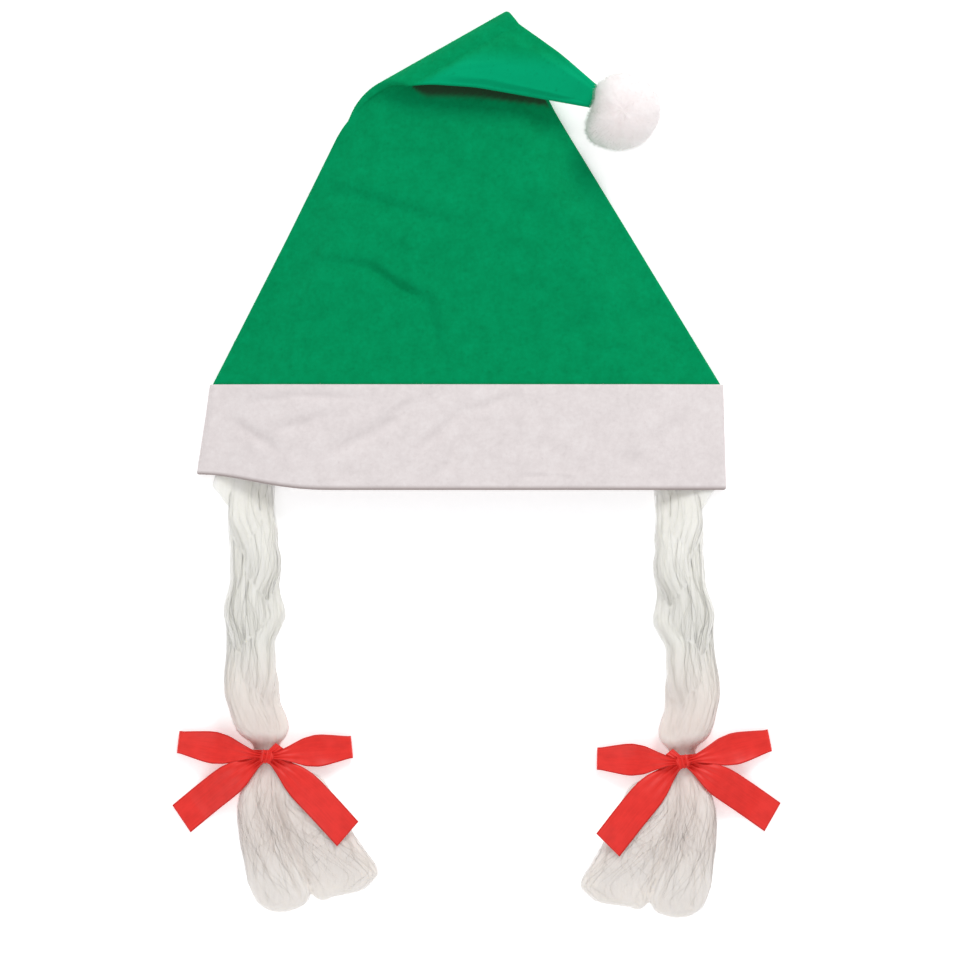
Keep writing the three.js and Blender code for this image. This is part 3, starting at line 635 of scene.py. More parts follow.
def melted(source: bpy.types.Object, name: str, cell: float, rounds: int, ease: Callable[[np.ndarray], np.ndarray],
           material: bpy.types.Material) -> bpy.types.Object:
    """Melts overlapping closed shells into one skin and eases the creases between them.

    Args:
        source: The shells, which are used up.
        name: The new object's name.
        cell: The size of the skin's faces, in mm.
        rounds: How many times each point moves towards its neighbours.
        ease: How far it does, from 0 to 1, for points in metres.
        material: The finish.

    Returns:
        The skin as one plain mesh.
    """
    modifier = source.modifiers.new("melt", "REMESH")
    modifier.mode = "VOXEL"
    modifier.voxel_size = cell * MM
    graph = bpy.context.evaluated_depsgraph_get()
    mesh = bpy.data.meshes.new_from_object(source.evaluated_get(graph), depsgraph=graph)
    bpy.data.objects.remove(source)
    points = np.empty(len(mesh.vertices) * 3)
    mesh.vertices.foreach_get("co", points)
    points = points.reshape(-1, 3)
    ends = np.empty(len(mesh.edges) * 2, dtype=np.int32)
    mesh.edges.foreach_get("vertices", ends)
    a, b = ends.reshape(-1, 2).T
    count = np.bincount(ends, minlength=len(points))[:, None]
    share = 0.5 * ease(points)[:, None]
    for _ in range(rounds):
        around = np.stack([np.bincount(a, points[b, i], len(points)) + np.bincount(b, points[a, i], len(points))
                           for i in range(3)], axis=-1)
        points = points + (around / count - points) * share
    mesh.vertices.foreach_set("co", points.ravel())
    mesh.polygons.foreach_set("use_smooth", np.ones(len(mesh.polygons), dtype=bool))
    mesh.update()
    mesh.name = name
    return linked(name, mesh, material)


def lines_object(name: str, lines: np.ndarray, girth: np.ndarray | None = None) -> bpy.types.Object:
    """A mesh of open lines for a node tree to read.

    Args:
        name: The object's name.
        lines: Points in the hat's frame, one row for each line.
        girth: The thickness at each point, as a share.

    Returns:
        The object.
    """
    count, steps = lines.shape[:2]
    points = place(lines.reshape(-1, 3))
    start = (np.arange(count)[:, None] * steps + np.arange(steps - 1)[None, :]).ravel()
    mesh = bpy.data.meshes.new(name)
    mesh.from_pydata(points.tolist(), np.stack([start, start + 1], axis=-1).tolist(), [])
    if girth is not None:
        mesh.attributes.new("girth", "FLOAT", "POINT").data.foreach_set("value", girth.ravel().astype(np.float32))
    made = bpy.data.objects.new(name, mesh)
    bpy.context.scene.collection.objects.link(made)
    return made


# ---- finishes


@dataclass(frozen=True)
class Felt:
    """Needle-punched polyester felt: a dense mat of short crossed fibres, so dull, soft-edged and faintly mottled."""

    name: str
    deep: str
    plain: str
    bright: str
    # The next two colours are painted shade and painted light, laid on where a piece marks its points.
    painted_shade: str
    painted_light: str
    mottle: float = 9.0
    fibre: float = 0.9
    relief: float = 0.07
    sheen: float = 0.12
    glow: float = 0.0
    through: float = 2.0

    def material(self) -> bpy.types.Material:
        """Builds the material.

        Returns:
            The material, read in Object coordinates.
        """
        made = bpy.data.materials.new(self.name)
        made.use_nodes = True
        tree = made.node_tree
        shader = tree.nodes["Principled BSDF"]
        where = add(tree, "ShaderNodeTexCoord").outputs["Object"]
        cloud = add(tree, "ShaderNodeTexNoise", {"Vector": where, "Scale": 1 / (self.mottle * MM), "Detail": 4.0,
                    "Roughness": 0.6})
        fluff = add(tree, "ShaderNodeTexNoise", {"Vector": where, "Scale": 1 / (2.4 * MM), "Detail": 5.0,
                    "Roughness": 0.65})
        both = add(tree, "ShaderNodeMix", {0: 0.5, 2: cloud.outputs["Fac"], 3: fluff.outputs["Fac"]},
                   data_type="FLOAT")
        ramp = add(tree, "ShaderNodeValToRGB", {"Fac": both.outputs[0]})
        ramp.color_ramp.elements.new(0.5)
        for element, position, colour in zip(ramp.color_ramp.elements, (0.34, 0.5, 0.66),
                                             (self.deep, self.plain, self.bright)):
            element.position = position
            element.color = linear(colour)
        mat = add(tree, "ShaderNodeTexNoise", {"Vector": where, "Scale": 1 / (self.fibre * MM), "Detail": 3.0,
                  "Roughness": 0.7, "Distortion": 1.6})
        pills = add(tree, "ShaderNodeTexVoronoi", {"Vector": where, "Scale": 1 / (3.2 * MM)}, feature="SMOOTH_F1")
        heap = add(tree, "ShaderNodeMath", {0: mat.outputs["Fac"], 1: pills.outputs["Distance"]},
                   operation="SUBTRACT")
        bump = add(tree, "ShaderNodeBump", {"Height": heap.outputs[0], "Distance": self.relief * MM,
                   "Strength": 0.8})
        # Painted shade and painted light: points that a piece marks are mixed towards a darker or a lighter colour.
        toned = ramp.outputs["Color"]
        for name, colour in (("painted_light", self.painted_light), ("painted_shade", self.painted_shade)):
            share = add(tree, "ShaderNodeAttribute", attribute_name=name)
            toned = add(tree, "ShaderNodeMix", {0: share.outputs["Fac"], 6: toned, 7: linear(colour)},
                        data_type="RGBA").outputs[2]
        tree.links.new(toned, shader.inputs["Base Color"])
        tree.links.new(bump.outputs["Normal"], shader.inputs["Normal"])
        shader.inputs["Roughness"].default_value = 0.96
        shader.inputs["Specular IOR Level"].default_value = 0.06
        shader.inputs["Sheen Weight"].default_value = self.sheen
        shader.inputs["Sheen Roughness"].default_value = 0.55
        shader.inputs["Sheen Tint"].default_value = linear(self.bright)
        shader.inputs["Subsurface Weight"].default_value = self.glow
        shader.inputs["Subsurface Radius"].default_value = (1.0, 1.0, 1.0)
        shader.inputs["Subsurface Scale"].default_value = self.through * MM
        return made


@dataclass(frozen=True)
class Fibre:
    """Drawn synthetic fibre: fine crimped threads, so it looks soft as wool and only faintly streaked along them.

    A painted reflection of the red ribbons tints it pink near each bow, and more faintly below.
    """

    name: str
    deep: str
    plain: str
    tint: str = "#ffffff"
    faint: str = "#ffffff"
    streak: float = 1.6
    gloss: float = 0.85
    sheen: float = 0.1
    relief: float = 0.06
    through: float = 5.0
    tint_from: float = -96.0
    tint_to: float = -230.0

    def material(self) -> bpy.types.Material:
        """Builds the material.

        Returns:
            The material, read in Object coordinates that are drawn out along the plaits.
        """
        made = bpy.data.materials.new(self.name)
        made.use_nodes = True
        tree = made.node_tree
        shader = tree.nodes["Principled BSDF"]
        where = add(tree, "ShaderNodeTexCoord").outputs["Object"]
        drawn = add(tree, "ShaderNodeMapping", {"Vector": where, "Scale": (1.0, 0.16, 1.0)})
        lines = add(tree, "ShaderNodeTexNoise", {"Vector": drawn.outputs[0], "Scale": 1 / (self.streak * MM),
                    "Detail": 4.0, "Roughness": 0.7})
        clouds = add(tree, "ShaderNodeTexNoise", {"Vector": where, "Scale": 1 / (22 * MM), "Detail": 2.0})
        both = add(tree, "ShaderNodeMix", {0: 0.35, 2: lines.outputs["Fac"], 3: clouds.outputs["Fac"]},
                   data_type="FLOAT")
        ramp = add(tree, "ShaderNodeValToRGB", {"Fac": both.outputs[0]})
        for element, position, colour in zip(ramp.color_ramp.elements, (0.3, 0.66), (self.deep, self.plain)):
            element.position = position
            element.color = linear(colour)
        # Painted reflection: a pink tint for the ribbons' red light, from near the bows downwards, fainter at the
        # bottom.
        apart = add(tree, "ShaderNodeSeparateXYZ", {"Vector": where})
        low = add(tree, "ShaderNodeMapRange", {"Value": apart.outputs["Y"], "From Min": self.tint_from * MM,
                  "From Max": self.tint_to * MM})
        blush = add(tree, "ShaderNodeValToRGB", {"Fac": low.outputs[0]})
        blush.color_ramp.elements.new(0.35)
        blush.color_ramp.elements.new(0.6)
        for element, colour in zip(blush.color_ramp.elements, ("#ffffff", self.tint, self.tint, self.faint)):
            element.color = linear(colour)
        tinted = add(tree, "ShaderNodeMix", {0: 1.0, 6: ramp.outputs["Color"], 7: blush.outputs["Color"]},
                     data_type="RGBA", blend_type="MULTIPLY")
        bump = add(tree, "ShaderNodeBump", {"Height": lines.outputs["Fac"], "Distance": self.relief * MM,
                   "Strength": 0.6})
        tree.links.new(tinted.outputs[2], shader.inputs["Base Color"])
        tree.links.new(bump.outputs["Normal"], shader.inputs["Normal"])
        shader.inputs["Roughness"].default_value = self.gloss
        shader.inputs["Specular IOR Level"].default_value = 0.15
        shader.inputs["Sheen Weight"].default_value = self.sheen
        shader.inputs["Sheen Roughness"].default_value = 0.5
        shader.inputs["Subsurface Weight"].default_value = 0.85
        shader.inputs["Subsurface Radius"].default_value = (1.0, 1.0, 0.95)
        shader.inputs["Subsurface Scale"].default_value = self.through * MM
        return made


@dataclass(frozen=True)
class Satin:
    """Woven polyester satin ribbon: long floats on its face give a broad gloss, and each edge has a tight selvedge."""

    name: str
    deep: str
    plain: str
    weave: float = 0.8
    selvedge: float = 1.0
    width: float = 18.0

    def material(self) -> bpy.types.Material:
        """Builds the material.

        Returns:
            The material, read in the ribbon's own UV map, where U runs across and V along, in metres.
        """
        made = bpy.data.materials.new(self.name)
        made.use_nodes = True
        tree = made.node_tree
        shader = tree.nodes["Principled BSDF"]
        where = add(tree, "ShaderNodeTexCoord").outputs["UV"]
        apart = add(tree, "ShaderNodeSeparateXYZ", {"Vector": where})
        # A real float is 0.2 mm apart, too fine to show, so the ribs are drawn 0.8 mm apart.
        ribs = add(tree, "ShaderNodeTexWave", {"Vector": where, "Scale": 1 / (self.weave * MM) / 20,
                   "Distortion": 0.6, "Detail": 1.0}, bands_direction="Y")
        drawn = add(tree, "ShaderNodeMapping", {"Vector": where, "Scale": (1.0, 0.07, 1.0)})
        floats = add(tree, "ShaderNodeTexNoise", {"Vector": drawn.outputs[0], "Scale": 1 / (0.9 * MM),
                     "Detail": 3.0})
        rub = add(tree, "ShaderNodeTexNoise", {"Vector": where, "Scale": 1 / (7 * MM), "Detail": 2.0})
        tone = add(tree, "ShaderNodeMix", {0: 0.55, 2: floats.outputs["Fac"], 3: rub.outputs["Fac"]},
                   data_type="FLOAT")
        ramp = add(tree, "ShaderNodeValToRGB", {"Fac": tone.outputs[0]})
        for element, position, colour in zip(ramp.color_ramp.elements, (0.2, 0.6), (self.deep, self.plain)):
            element.position = position
            element.color = linear(colour)
        out = add(tree, "ShaderNodeMath", {0: apart.outputs["X"]}, operation="ABSOLUTE")
        edge = add(tree, "ShaderNodeMapRange",
                   {"Value": out.outputs[0], "From Min": (self.width / 2 - self.selvedge) * MM,
                    "From Max": (self.width / 2 - 0.6 * self.selvedge) * MM})
        cord = add(tree, "ShaderNodeMix", {0: edge.outputs[0], 6: ramp.outputs["Color"], 7: linear(self.deep)},
                   data_type="RGBA")
        height = add(tree, "ShaderNodeMath", {0: ribs.outputs["Fac"], 1: edge.outputs[0]}, operation="ADD")
        bump = add(tree, "ShaderNodeBump", {"Height": height.outputs[0], "Distance": 0.05 * MM,
                   "Strength": 0.6})
        tree.links.new(cord.outputs[2], shader.inputs["Base Color"])
        tree.links.new(bump.outputs["Normal"], shader.inputs["Normal"])
        shader.inputs["Roughness"].default_value = 0.44
        shader.inputs["Specular IOR Level"].default_value = 0.32
        shader.inputs["Anisotropic"].default_value = 0.4
        shader.inputs["Sheen Weight"].default_value = 0.04
        shader.inputs["Sheen Roughness"].default_value = 0.35
        return made


# ---- the hat's shape


@dataclass
class Rows:
    """Rows drawn across the hat: their ends, their height over the floor and how far front and back bulge."""

    left: np.ndarray
    right: np.ndarray
    floor: np.ndarray
    front: np.ndarray
    back: np.ndarray


@dataclass
class HatShape:
    """The hat's flat pattern and the way that it lies, with the same sizes as the solids."""

    wall: float = 1.3
    gap: float = 0.35
    side: float = 2.2
    half: float = 139.5
    length: float = 264.0
    loft: float = 12.0
    tuck: float = 12.0
    settle: float = 26.0
    roll: float = 3.2
    fold_loft: float = 2.0
    flap_loft: float = 3.0
    flap_lift: float = 5.0
    band: float = 58.0
    flare_left: float = 7.2
    flare_right: float = 1.6
    hem_rise: float = 8.5
    rim_gap: float = 0.6
    crease: float = 1.45
    fold_rises: tuple[float, float] = (0.548, 0.746)
    outline: tuple[tuple[float, float, float], ...] = (
        (0.0, -1.0, 1.0), (0.3, -0.711, 0.656), (0.528, -0.498, 0.393), (0.553, -0.462, 0.365),
        (0.578, -0.412, 0.338), (0.605, -0.35, 0.314), (0.64, -0.284, 0.283), (0.689, -0.217, 0.239),
        (0.775, -0.134, 0.17), (0.891, -0.049, 0.152), (1.0, 0.03, 0.117),
    )
    ring: dict[str, int] = field(default_factory=lambda: {"back": 70, "turn": 8, "front": 150})

    def __post_init__(self) -> None:
        """Works out the fold's line from the two places where it meets the crown's edges."""
        rises = np.array(self.fold_rises) * self.length
        left, right = self.edges(rises, exact=True)
        self.start = np.array([left[0], self.band + rises[0]])
        end = np.array([right[1], self.band + rises[1]])
        self.along = (end - self.start) / np.linalg.norm(end - self.start)
        self.past = np.array([-self.along[1], self.along[0]])
        self.cover = self.gap + self.wall
        self.edge = 2 * self.side
        self.plane = self.edge + self.fold_loft
        self.flap_start = math.pi * self.roll
        tip_left, _ = self.edges(np.array([self.length]), exact=True)
        self.tip = float(self.beyond(tip_left, np.array([self.band + self.length]))[0])

    def edges(self, rise: np.ndarray, exact: bool = False) -> tuple[np.ndarray, np.ndarray]:
        """The crown's two edges.

        Args:
            rise: Heights over the band's upper edge.
            exact: True for the table's straight lines, with its corners not eased.

        Returns:
            x of the left edge and of the right edge.
        """
        table = np.array(self.outline)
        inside = np.clip(-rise / self.band, 0, 1)
        out = []
        for column in (1, 2):
            around = (0.0,) if exact else (-4.0, -2.0, 0.0, 2.0, 4.0)
            values = [np.interp((rise + step) / self.length, table[:, 0], table[:, column]) for step in around]
            eased = np.mean(values, axis=0)
            plain = np.interp(rise / self.length, table[:, 0], table[:, column])
            keep = (1 - smooth(rise, 8, 24)) + smooth(rise, self.length - 12, self.length - 4)
            out.append(self.half * lerp(eased, plain, np.clip(keep, 0, 1)))
        return out[0] - self.flare_left * inside, out[1] + self.flare_right * inside

    def beyond(self, x: np.ndarray, y: np.ndarray) -> np.ndarray:
        """How far points of the flat pattern lie past the line where the fold begins."""
        return (x - self.start[0]) * self.past[0] + (y - self.start[1]) * self.past[1]

    def rise_at(self, column: int, distance: np.ndarray) -> np.ndarray:
        """Where an edge of the crown is a given distance past the fold's line.

        Args:
            column: 0 for the left edge, 1 for the right one.
            distance: Distances past the line.

        Returns:
            Heights over the band's upper edge.
        """
        rises = np.linspace(0, self.length, 4000)
        x = self.edges(rises)[column]
        return np.interp(distance, self.beyond(x, self.band + rises), rises)

    def loft_shape(self, across: np.ndarray) -> np.ndarray:
        """The share of the loft that the cloth has at a place across the hat."""
        return smooth(1 - np.abs(across), 0, 0.34)

    def relief(self, x: np.ndarray, y: np.ndarray) -> np.ndarray:
        """How deep the front's folds are, on the band and on the crown.

        Args:
            x: Place across.
            y: Place along, from the hem.

        Returns:
            Depths.
        """
        low = self.crease * depth_of(BAND_FOLDS, x, y) + 0.16 * ripple(x, y, 17, 5)
        high = self.crease * depth_of(CROWN_FOLDS, x, y) + 0.2 * ripple(x, y, 26, 11) + 0.05 * ripple(x, y, 9, 12)
        return low * (1 - smooth(y, 50, 62)) + high * smooth(y, 58, 72)

    def rings(self, rows: Rows, offset: np.ndarray | float) -> np.ndarray:
        """Rings round the flat hat.

        Args:
            rows: The rows that they are drawn on.
            offset: How far each ring lies outside the crown's outer face.

        Returns:
            Points, one row for each ring: first the back, then the right edge, the front and the left edge.
        """
        count = len(rows.floor)
        offset = np.broadcast_to(np.asarray(offset, float), (count,))[:, None]
        span = rows.right - rows.left
        width = np.linalg.norm(span, axis=1)
        away = span / width[:, None]
        middle = (rows.left + rows.right) / 2
        flat = (width / 2 - self.side)[:, None]
        floor, front, back = rows.floor[:, None], rows.front[:, None], rows.back[:, None]
        radius = self.side + offset
        b = np.linspace(-1, 1, self.ring["back"] + 1)[None, :]
        f = -np.linspace(-1, 1, self.ring["front"] + 1)[None, :]
        t = (np.pi * np.arange(1, self.ring["turn"]) / self.ring["turn"])[None, :]
        sideways = np.concatenate([flat * b, flat + radius * np.cos(t - np.pi / 2), flat * f,
                                   -flat + radius * np.cos(t + np.pi / 2)], axis=1)
        x = middle[:, :1] + away[:, :1] * sideways
        y = middle[:, 1:] + away[:, 1:] * sideways
        low = floor - offset - back * self.loft_shape(b)
        right = floor + self.side + radius * np.sin(t - np.pi / 2)
        left = floor + self.side + radius * np.sin(t + np.pi / 2)
        at = slice(self.ring["back"] + self.ring["turn"], self.ring["back"] + self.ring["turn"] + f.size)
        high = floor + self.edge + offset + front * self.loft_shape(f)
        high = high - self.relief(x[:, at], y[:, at]) * smooth(1 - np.abs(f), 0, 0.2) * self.bodied(rows)
        return np.stack([x, y, np.concatenate([low, right, high, left], axis=1)], axis=-1)

    def bodied(self, rows: Rows) -> np.ndarray:
        """1 for rows below the fold, falling to 0 where it begins."""
        middle = (rows.left + rows.right) / 2
        return (1 - smooth(self.beyond(middle[:, 0], middle[:, 1]), -26, 0))[:, None]

    def folded(self, points: np.ndarray) -> np.ndarray:
        """Where points of the flat hat lie once its tip is rolled over to the front.

        Args:
            points: Points of the flat hat.

        Returns:
            The same points, with those past the fold's line turned over.
        """
        x, y, z = points[..., 0], points[..., 1], points[..., 2]
        past = self.beyond(x, y)
        sideways = (x - self.start[0]) * self.along[0] + (y - self.start[1]) * self.along[1]
        turn = np.clip(past / self.roll, 0, np.pi)
        beyond = np.maximum(0, past - self.flap_start)
        arm = self.roll - (z - self.plane)
        reach = arm * np.sin(turn) - beyond
        share = np.clip(beyond / (self.tip - self.flap_start), 0, 1)
        lift = self.flap_lift * np.sin(np.pi * share**0.7)
        moved = np.stack([
            self.start[0] + self.along[0] * sideways + self.past[0] * reach,
            self.start[1] + self.along[1] * sideways + self.past[1] * reach,
            self.plane + self.roll - arm * np.cos(turn) + lift,
        ], axis=-1)
        return np.where((past > 0)[..., None], moved, points)


@dataclass
class Crown:
    """The green felt bag, with its tip rolled over to the front."""

    shape: HatShape
    body_rows: int = 92
    roll_rows: int = 16
    flap_rows: int = 56
    lip_reach: float = 8.5

    def rows(self) -> Rows:
        """The rows from the edge inside the band to the tip."""
        s = self.shape
        share = np.concatenate([np.linspace(0, 1, self.body_rows, endpoint=False)])
        distance = np.linspace(0, s.flap_start, self.roll_rows + 1)
        flap = np.linspace(0, 1, self.flap_rows + 1)[1:]
        tucked = np.linspace(-s.tuck, 0, 6)[:-1]
        ends = []
        for column in (0, 1):
            start = s.fold_rises[column] * s.length
            rolled = s.rise_at(column, distance)
            rolled[0] = start
            ends.append(np.concatenate([tucked, start * share, rolled, lerp(rolled[-1], s.length, flap)]))
        sides = [np.stack([s.edges(r)[i], s.band + r], axis=-1) for i, r in enumerate(ends)]
        middle = (ends[0] + ends[1]) / 2
        body = np.concatenate([np.full(5, s.loft), lerp(s.loft, s.fold_loft, smooth(share, 0.45, 1))])
        front = np.concatenate([body, np.full(len(distance), s.fold_loft), s.fold_loft * (1 - flap)])
        puff = s.flap_loft * np.sin(np.pi * flap**0.8)
        back = np.concatenate([np.zeros(len(body) + len(distance)), puff])
        return Rows(sides[0], sides[1], s.cover * (1 - smooth(middle, 0, s.settle)), front, back)

    def laid(self, rows: Rows, offset: float) -> np.ndarray:
        """Rings as they lie, folded over and with the flap's own creases.

        Args:
            rows: The rows.
            offset: How far outside the crown's outer face.

        Returns:
            Points, one row for each ring.
        """
        s = self.shape
        flat = s.rings(rows, offset)
        points = s.folded(flat)
        top = slice(0, s.ring["back"] + 1)
        x, y = points[:, top, 0], points[:, top, 1]
        across = np.linspace(-1, 1, s.ring["back"] + 1)[None, :]
        ease = smooth(1 - np.abs(across), 0, 0.25)
        over = smooth(s.beyond(flat[:, top, 0], flat[:, top, 1]), s.flap_start - 2, s.flap_start + 8)
        points[:, top, 2] -= (depth_of(FLAP_FOLDS, x, y) + 0.15 * ripple(x, y, 19, 31)) * ease * over
        return points

    def shadow_under_lip(self, outer: np.ndarray) -> np.ndarray:
        """How much painted shadow the crown's front gets under the lower edge of the folded-over tip.

        Args:
            outer: The crown's outer rings.

        Returns:
            A share for each point, largest along that edge.
        """
        s = self.shape
        body = self.body_rows + 5
        lip = outer[body + self.roll_rows:, -s.ring["turn"] // 2, :2]
        way = np.linspace(0, 1, len(lip))
        reach = self.lip_reach * smooth(way, 0, 0.12) * (1 - 0.75 * way)
        front = slice(s.ring["back"] + s.ring["turn"], s.ring["back"] + s.ring["turn"] + s.ring["front"] + 1)
        shares = np.zeros(outer.shape[:2])
        away = np.linalg.norm(outer[:body, front, None, :2] - lip[None, None], axis=-1)
        shares[:body, front] = np.max(1 - smooth(away / np.maximum(reach, 0.1), 0.45, 1.0), axis=-1)
        return shares

    def light_on_tip(self, outer: np.ndarray) -> np.ndarray:
        """How much painted light the folded-over tip gets, strongest along its lower edge.

        Args:
            outer: The crown's outer rings.

        Returns:
            A share for each point, largest along the tip's lower edge.
        """
        first = self.body_rows + 5 + self.roll_rows
        tip = outer[first:]
        over_edge = tip[..., 1] - (218.0 - 0.07 * (tip[..., 0] + 49.3))
        shares = np.zeros(outer.shape[:2])
        shares[first:] = 0.9 * (1 - smooth(over_edge, 17, 31)) * smooth(np.linspace(0, 1, len(tip)), 0, 0.1)[:, None]
        return shares

    def build(self, felt: Felt) -> list[bpy.types.Object]:
        """Makes the crown and the nap on it.

        Args:
            felt: The finish.

        Returns:
            The pieces.
        """
        material = felt.material()
        rows = self.rows()
        outer, inner = self.laid(rows, 0.0), self.laid(rows, -self.shape.wall)
        skins = Skins()
        rings = np.concatenate([inner[:-2][::-1], outer])
        skins.add(rings)
        crown = dress(skins.build("felt_crown", material), "green_felt", "crown")
        hidden = np.zeros(inner[:-2].shape[:2])
        # Painted shadow on the crown's front under the tip's lower edge.
        mark(crown, "painted_shade", np.concatenate([hidden, self.shadow_under_lip(outer)]))
        # Painted light on the folded-over tip, along its lower edge.
        mark(crown, "painted_light", np.concatenate([hidden, self.light_on_tip(outer)]))
        rise = np.linspace(-self.shape.tuck, self.shape.length, 400)
        left, right = self.shape.edges(rise)
        shown = outer[8:-4]
        ground = sheet_mesh("crown_ground", np.concatenate([shown, shown[:, :1]], axis=1), material)
        nap = Growth(length=1.0, girth=0.06, density=0.075, lean=66, curl=0.5, seed=3).grow(
            ground, "felt_crown_nap", material)
        return [crown, dress(nap, "green_felt")]


@dataclass
class Band:
    """The doubled white felt band: one strip folded at the hem, its outer layer over the crown's edge."""

    shape: HatShape

    def ring_at(self, y: np.ndarray, offset: np.ndarray) -> np.ndarray:
        """Rings of the band.

        Args:
            y: Heights over the hem.
            offset: How far each ring lies outside the crown's outer face.

        Returns:
            Points, one row for each ring.
        """
        s = self.shape
        left, right = s.edges(y - s.band)
        same = np.ones(len(y))
        rows = Rows(np.stack([left, y], -1), np.stack([right, y], -1), s.cover * same, s.loft * same, 0 * same)
        points = s.rings(rows, offset)
        hem = s.hem_rise * (1 - smooth(points[..., 0] / s.half, -1.05, -0.5)) ** 1.5
        ledge = s.band - s.tuck - s.rim_gap
        points[..., 1] += hem * np.maximum(0, 1 - y / ledge)[:, None]
        return points

    def build(self, felt: Felt, thread: Fibre) -> list[bpy.types.Object]:
        """Makes the band, the nap on it and the seam at the back.

        Args:
            felt: The band's finish.
            thread: The finish of the thread.

        Returns:
            The pieces.
        """
        s = self.shape
        material = felt.material()
        ledge = s.band - s.tuck - s.rim_gap
        hem = (s.cover + s.wall) / 2
        turn = np.linspace(0, np.pi, 9)
        path = [
            (np.linspace(hem, s.band - 0.5, 46), s.cover),
            (np.array([s.band - 0.1, s.band, s.band - 0.1]), np.array([s.cover - 0.25, s.cover - 0.65, s.gap + 0.2])),
            (np.linspace(s.band - 0.5, 2.3, 26), s.gap),
            (np.array([2.0]), s.gap / 2),
            (np.linspace(2.3, ledge - 0.4, 24), 0.0),
            (np.array([ledge - 0.05, ledge - 0.05]), np.array([-0.3, -1.0])),
            (np.linspace(ledge - 0.4, hem, 26), -s.wall),
            ((hem - hem * np.sin(turn))[::-1][1:-1], ((s.cover - s.wall) / 2 + hem * np.cos(turn))[::-1][1:-1]),
        ]
        y = np.concatenate([part[0] for part in path])
        offset = np.concatenate([np.broadcast_to(part[1], part[0].shape) for part in path])
        rings = self.ring_at(y, offset)
        skins = Skins()
        skins.add(rings, closed=True)
        band = dress(skins.build("felt_band", material), "white_felt", "band")
        # Painted shade along the hem's fold, darkest at the bottom edge.
        mark(band, "painted_shade", np.broadcast_to((1 - smooth(y, 0.2, 2.6))[:, None], rings.shape[:2]))
        shown = np.concatenate([rings[-5:], rings[:47]])
        ground = sheet_mesh("band_ground", np.concatenate([shown, shown[:, :1]], axis=1), material)
        nap = Growth(length=1.0, girth=0.06, density=0.09, lean=66, curl=0.5, seed=8).grow(
            ground, "felt_band_nap", material)
        seam = self.back_seam(rings, thread)
        return [band, dress(nap, "white_felt"), seam]

    def back_seam(self, rings: np.ndarray, thread: Fibre) -> bpy.types.Object:
        """Sews the strip's two ends together with a line of stitches inside the band's back.

        Args:
            rings: The band's rings.
            thread: The thread's finish.

        Returns:
            The stitches.
        """
        back = self.shape.ring["back"]
        inside = rings[-33:-9, int(back * 0.52)]
        line = inside + np.array([0, 0, 0.12])
        rows = np.stack([line, line + np.array([3.2, 0, 0])])
        source = lines_object("band_seam_line", rows)
        material = thread.material()
        made = made_plain(source, "band_seam_stitches", stitch_tree(material),
                          {"Pitch": 3.4 * MM, "Length": 2.6 * MM, "Thread": 0.28 * MM}, material)
        return dress(made, "white_felt")


@dataclass
class Pompom:
    """A ball of cut pile on the crown's tip, fuller on the side that lies under the tip.

    Each row of bulges has an angle in plan from +X and the ball's half width there.
    """

    radius: float = 20.8
    bulges: tuple[tuple[float, float], ...] = (
        (0.0, 20.2), (30.0, 20.4), (60.0, 20.6), (90.0, 20.2), (115.0, 20.4), (130.0, 20.4), (143.0, 18.8),
        (158.0, 16.9), (180.0, 17.0), (190.0, 19.2), (200.0, 22.0), (213.0, 23.8), (228.0, 23.6), (248.0, 21.8),
        (270.0, 21.2), (300.0, 20.2), (330.0, 19.8), (360.0, 20.2),
    )

    def centre(self) -> np.ndarray:
        """The ball's middle, over the middle of the solid that it stands for."""
        low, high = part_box("pompom")
        middle = [(a + b) / 2 / MM for a, b in zip(low, high)]
        return np.array([middle[0] - 1.4, middle[1] - 0.4, self.radius - 0.8]) - ORIGIN * np.array([1, 1, 0])

    def build(self, pile: Felt) -> list[bpy.types.Object]:
        """Makes the ball's core and its pile.

        Args:
            pile: The finish.

        Returns:
            The pieces.
        """
        material = pile.material()
        turns = np.linspace(0, 2 * np.pi, 64, endpoint=False)[None, :]
        tilt = np.linspace(0.03, np.pi - 0.03, 40)[:, None]
        lump = 1 + 0.018 * np.sin(5 * turns + 3 * tilt) * np.sin(4 * tilt) + 0.012 * np.sin(9 * turns - 5 * tilt)
        table = np.array(self.bulges)
        plan = softened(np.interp(np.degrees(turns[0]), table[:, 0], table[:, 1]), 2)[None, :]
        r = plan * np.sin(tilt) * lump
        ball = np.stack([r * np.cos(turns), r * np.sin(turns),
                         self.radius * 0.95 * np.cos(tilt) * lump], axis=-1) + self.centre()
        skins = Skins()
        skins.add(ball)
        core = dress(skins.build("pompom_core", material), "white_pile", "pompom")
        ground = sheet_mesh("pompom_ground", np.concatenate([ball, ball[:, :1]], axis=1), material)
        grow = Growth(length=1.9, girth=0.09, density=1.1, lean=42, curl=0.5, seed=21, joints=2)
        pile_mesh = grow.grow(ground, "pompom_pile", material)
        return [core, dress(pile_mesh, "white_pile")]


# ---- plaits


